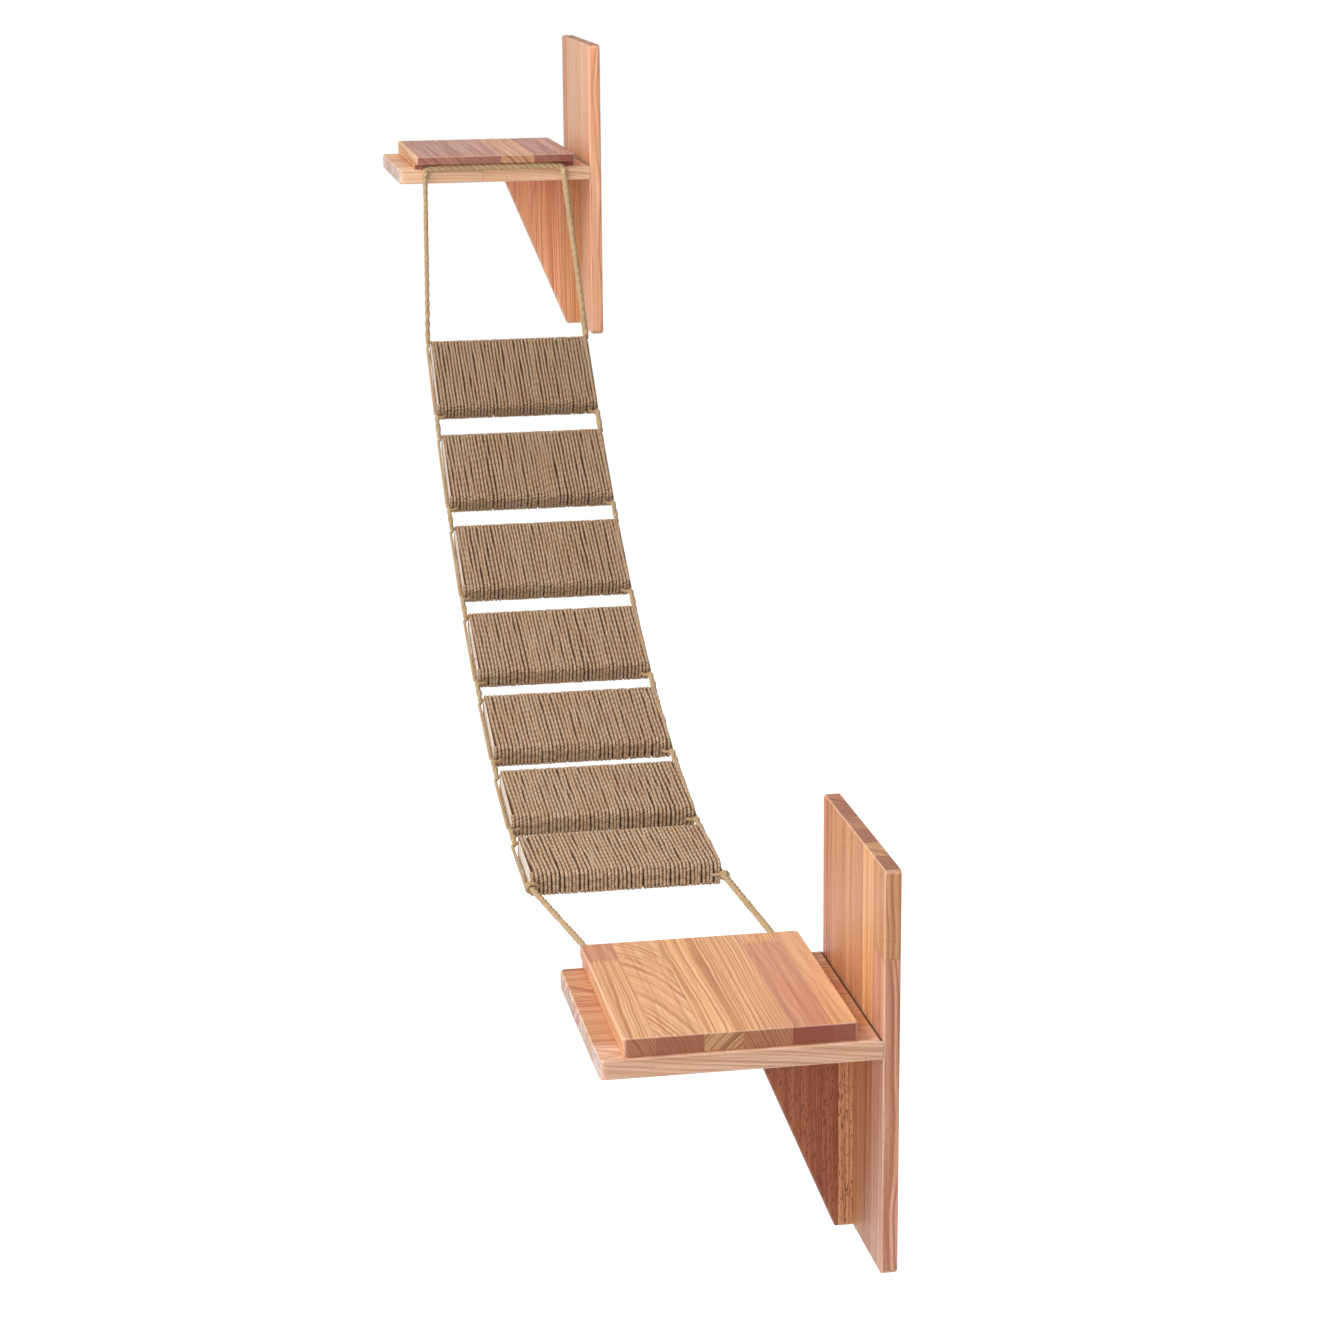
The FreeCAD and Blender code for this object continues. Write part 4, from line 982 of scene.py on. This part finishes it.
def twisted_pair(outer, inner, fullness):
    """Lay two strands round each other, close together, wherever they run side by side."""
    middle = (outer + inner) / 2
    half = (outer - inner) / 2
    along = lengths(middle)
    close = np.clip((LAID_WITHIN - np.linalg.norm(half, axis=1)) / LAID_FADE, 0.0, 1.0)
    close = close * close * (3 - 2 * close)
    rate = 2 * math.pi / ROPE_TURN * close
    turn = np.concatenate([[0.0], np.cumsum(np.diff(along) * (rate[1:] + rate[:-1]) / 2)])
    turn = whole_turns(turn, close)[:, None]
    ahead = tangents(middle)
    sideways = half - ahead * np.sum(half * ahead, axis=1)[:, None]
    sideways = sideways * (1 - PRESSED * close)[:, None]
    turned = sideways * np.cos(turn) + np.cross(ahead, sideways) * np.sin(turn)
    # Strands press into each other where they are laid together, and look fuller there
    girth = STRAND * (1.0 + close * np.interp(along / along[-1], FULLNESS_PLACES, fullness))
    return np.column_stack([middle + turned, girth]), np.column_stack([middle - turned, girth])


def add_rope(side_name):
    knot = add_knot(side_name)
    outer = spline_points(strand_route(side_name, inner=False))
    inner = spline_points(strand_route(side_name, inner=True))
    outer, inner = twisted_pair(outer, inner, FULLNESS[side_name])
    for strand_name, line, on_it in (("outer", outer, [knot]), ("inner", inner, [])):
        line = evenly(line, STRAND_STEP)
        line, girth = line[:, :3], line[:, 3]
        node = "%s_%s_strand" % (side_name, strand_name)
        mesh = laid_mesh(node + "_mesh", line, girth, STRAND_LAY, STRAND_SHADE)
        piece = add_piece(node + "_jute", mesh, ROPE_JUTE, side_name + "_rope", node)


for side_name in SIDES:
    add_rope(side_name)

# Crossbar ropes under the treads

BAR = 0.0092
BAR_BEND = 0.0045
BAR_STEP = 0.0011
BAR_SHADE = 0.5
# They sag out over the shelf's edge, as the photograph shows them
BAR_OUT = 0.0034
BAR_SAG = 0.0012


def crossbar_route(corner, anchor, anchor_y):
    """Rope in the rabbet under a tread and round its two corners to the ladder's ropes."""
    left, right = anchor_y["left"], anchor_y["right"]
    corner = corner + np.array([math.copysign(BAR_OUT, anchor[0] - corner[0]), 0.0, -BAR_SAG])
    return [at(anchor, left), toward(at(corner, left), at(anchor, left), BAR_BEND),
            at(corner, left + BAR_BEND), at(corner, (left + right) / 2), at(corner, right - BAR_BEND),
            toward(at(corner, right), at(anchor, right), BAR_BEND), at(anchor, right)]


def add_crossbar(unit, corner, anchor, anchor_y):
    node = unit + "_crossbar"
    line = evenly(spline_points(crossbar_route(corner, anchor, anchor_y)), BAR_STEP)
    mesh = laid_mesh(node + "_mesh", line, BAR, BAR_LAY, BAR_SHADE)
    add_piece(node + "_jute", mesh, ROPE_JUTE, "shelves", node)


add_crossbar("upper", UPPER_CORNER, UPPER_ANCHOR, UPPER_ANCHOR_Y)
add_crossbar("lower", LOWER_CORNER, LOWER_ANCHOR, LOWER_ANCHOR_Y)

# Twine wound round each slat, as one unbroken line of turns that lie side by side

TURNS = 48
TWINE = 0.0048
TWINE_STAND = 0.0026
TWINE_MARGIN = 0.0004
TWINE_STEP = 0.0012
TWINE_SIDEWAYS = np.array([0.0, 1.0, 0.0])
# Upper slats show more shade between the twine's plies, as in the photograph
PLY_SHADE = np.linspace(1.16, 0.58, SLAT_COUNT)
# Uneven spacing of the turns, and the few gaps between them, as shares of a turn
SPACING_SPREAD = 0.07
LOOSE_CHANCE = 0.14
LOOSE_GAP = 0.12
# How far a turn wavers, at so many places round the slat, and lies deeper or higher
WAVER = 0.00038
WAVER_PLACES = 15
LIFT_RANGE = (-0.00010, 0.00022)
# Most of the step to the next turn is taken under the slat
STEP_ON_TOP = 0.20
CORNER_STEPS = 6


def turn_outline():
    """One turn round a slat's section, as evenly spaced points with the top run first."""
    turn = SLAT_CORNER + TWINE_STAND
    inner_x = SLAT_WIDTH / 2 - SLAT_CORNER
    inner_z = SLAT_THICKNESS / 2 - SLAT_CORNER
    corners = [(inner_x, inner_z, 90), (inner_x, -inner_z, 0),
               (-inner_x, -inner_z, -90), (-inner_x, inner_z, 180)]
    outline = []
    for x, z, begin in corners:
        for step in range(CORNER_STEPS + 1):
            angle = math.radians(begin - 90 / CORNER_STEPS * step)
            outline.append((x + turn * math.cos(angle), 0.0, z + turn * math.sin(angle)))
    outline.append(outline[0])
    return evenly(np.array(outline), TWINE_STEP)[:-1]


def winding_line():
    """The whole winding in the slat's own frame: uneven turns, some packed and some with a gap."""
    outline = turn_outline()
    spacing = 1.0 + random.normal(0.0, SPACING_SPREAD, TURNS)
    spacing = spacing + np.where(random.random(TURNS) < LOOSE_CHANCE, LOOSE_GAP, 0.0)
    places = np.concatenate([[0.0], np.cumsum(spacing)])[:TURNS]
    places = places / places[-1] * (SLAT_LENGTH - 2 * TWINE_MARGIN) - SLAT_LENGTH / 2 + TWINE_MARGIN
    share = np.arange(len(outline)) / len(outline)
    step = np.interp(share, [0.0, 0.5, 1.0], [0.0, STEP_ON_TOP, 1.0])
    turns = []
    for turn, place in enumerate(places):
        following = places[min(turn + 1, TURNS - 1)]
        wavers = [0.0, *random.normal(0.0, WAVER, WAVER_PLACES - 2), 0.0]
        waver = np.interp(share, np.linspace(0.0, 1.0, WAVER_PLACES), wavers)
        lift = random.uniform(*LIFT_RANGE)
        wide = outline[:, 0] * (1 + lift / (SLAT_WIDTH / 2))
        thick = outline[:, 2] * (1 + lift / (SLAT_THICKNESS / 2))
        turns.append(np.column_stack([wide, place + (following - place) * step + waver, thick]))
    return np.concatenate(turns)


def add_winding(index, start, angle):
    body = "slat_%d" % (index + 1)
    mesh = laid_mesh(body + "_twine_mesh", winding_line(), TWINE, TWINE_LAY, PLY_SHADE[index], TWINE_SIDEWAYS)
    middle = start + downhill(angle) * SLAT_WIDTH / 2
    mesh.transform(Matrix.Translation((middle[0], LADDER_Y, middle[2])) @ Matrix.Rotation(angle, 4, "Y"))
    add_piece(body + "_twine", mesh, TWINE_JUTE, body, body + "_winding")


for index, (start, angle) in enumerate(SLATS):
    add_winding(index, start, angle)

# Floor, light and background

FLOOR_HALF = 14.0
FLOOR_LEVEL = -0.95
FLOOR_COLOUR = (0.82, 0.82, 0.82, 1.0)
FLOOR_ROUGHNESS = 0.9
FLOOR_GLOW = 0.72
WORLD_COLOUR = (1.0, 1.0, 1.0, 1.0)
WORLD_LIGHT = 0.36
# Each lamp's place, the point that it faces, its size and its power
LAMPS = {
    "key": ((-0.2, -2.6, 2.6), (-0.7, -0.1, 0.1), 1.8, 78),
    "fill": ((3.0, -1.6, 0.7), (-0.4, -0.1, 0.0), 2.2, 43),
    "upper_fill": ((0.4, -1.2, 1.5), (-1.4, -0.15, 0.4), 1.0, 10),
}


def floor_material():
    """Pale floor that keeps shadows and looks white where it is seen directly."""
    n = Material("floor")
    n.surface("Base Color", FLOOR_COLOUR)
    n.surface("Roughness", FLOOR_ROUGHNESS)
    n.surface("Specular IOR Level", 0.0)
    glow = n.new("ShaderNodeEmission")
    n.feed(glow.inputs["Strength"], n.math("MULTIPLY", n.seen_directly(), FLOOR_GLOW))
    both = n.new("ShaderNodeAddShader")
    n.feed(both.inputs[0], n.shader.outputs[0])
    n.feed(both.inputs[1], glow.outputs[0])
    output = next(node for node in n.tree.nodes if node.type == "OUTPUT_MATERIAL")
    n.feed(output.inputs["Surface"], both.outputs[0])
    return n.material


def add_floor():
    mesh = bpy.data.meshes.new("floor")
    corners = ((-FLOOR_HALF, -FLOOR_HALF), (FLOOR_HALF, -FLOOR_HALF), (FLOOR_HALF, FLOOR_HALF),
               (-FLOOR_HALF, FLOOR_HALF))
    mesh.from_pydata([(x, y, FLOOR_LEVEL) for x, y in corners], [], [(0, 1, 2, 3)])
    mesh.materials.append(floor_material())
    floor = bpy.data.objects.new("floor", mesh)
    bpy.context.collection.objects.link(floor)


def add_world():
    """Even light from all round, white where it is seen directly."""
    world = bpy.data.worlds.new("world")
    bpy.context.scene.world = world
    world.use_nodes = True
    n = Nodes(world.node_tree)
    background = n.tree.nodes["Background"]
    n.feed(background.inputs["Color"], WORLD_COLOUR)
    level = n.between(n.seen_directly(), 0.0, 1.0, WORLD_LIGHT, 1.0, smooth=False)
    n.feed(background.inputs["Strength"], level)


def add_lamp(name, place, target, size, power):
    data = bpy.data.lights.new(name, "AREA")
    data.shape = "SQUARE"
    data.size = size
    data.energy = power
    lamp = bpy.data.objects.new(name, data)
    direction = Vector(target) - Vector(place)
    lamp.matrix_world = Matrix.Translation(place) @ direction.to_track_quat("-Z", "Y").to_matrix().to_4x4()
    bpy.context.collection.objects.link(lamp)


add_floor()
add_world()
for name, settings in LAMPS.items():
    add_lamp(name, *settings)
bpy.context.scene.view_settings.view_transform = "Standard"
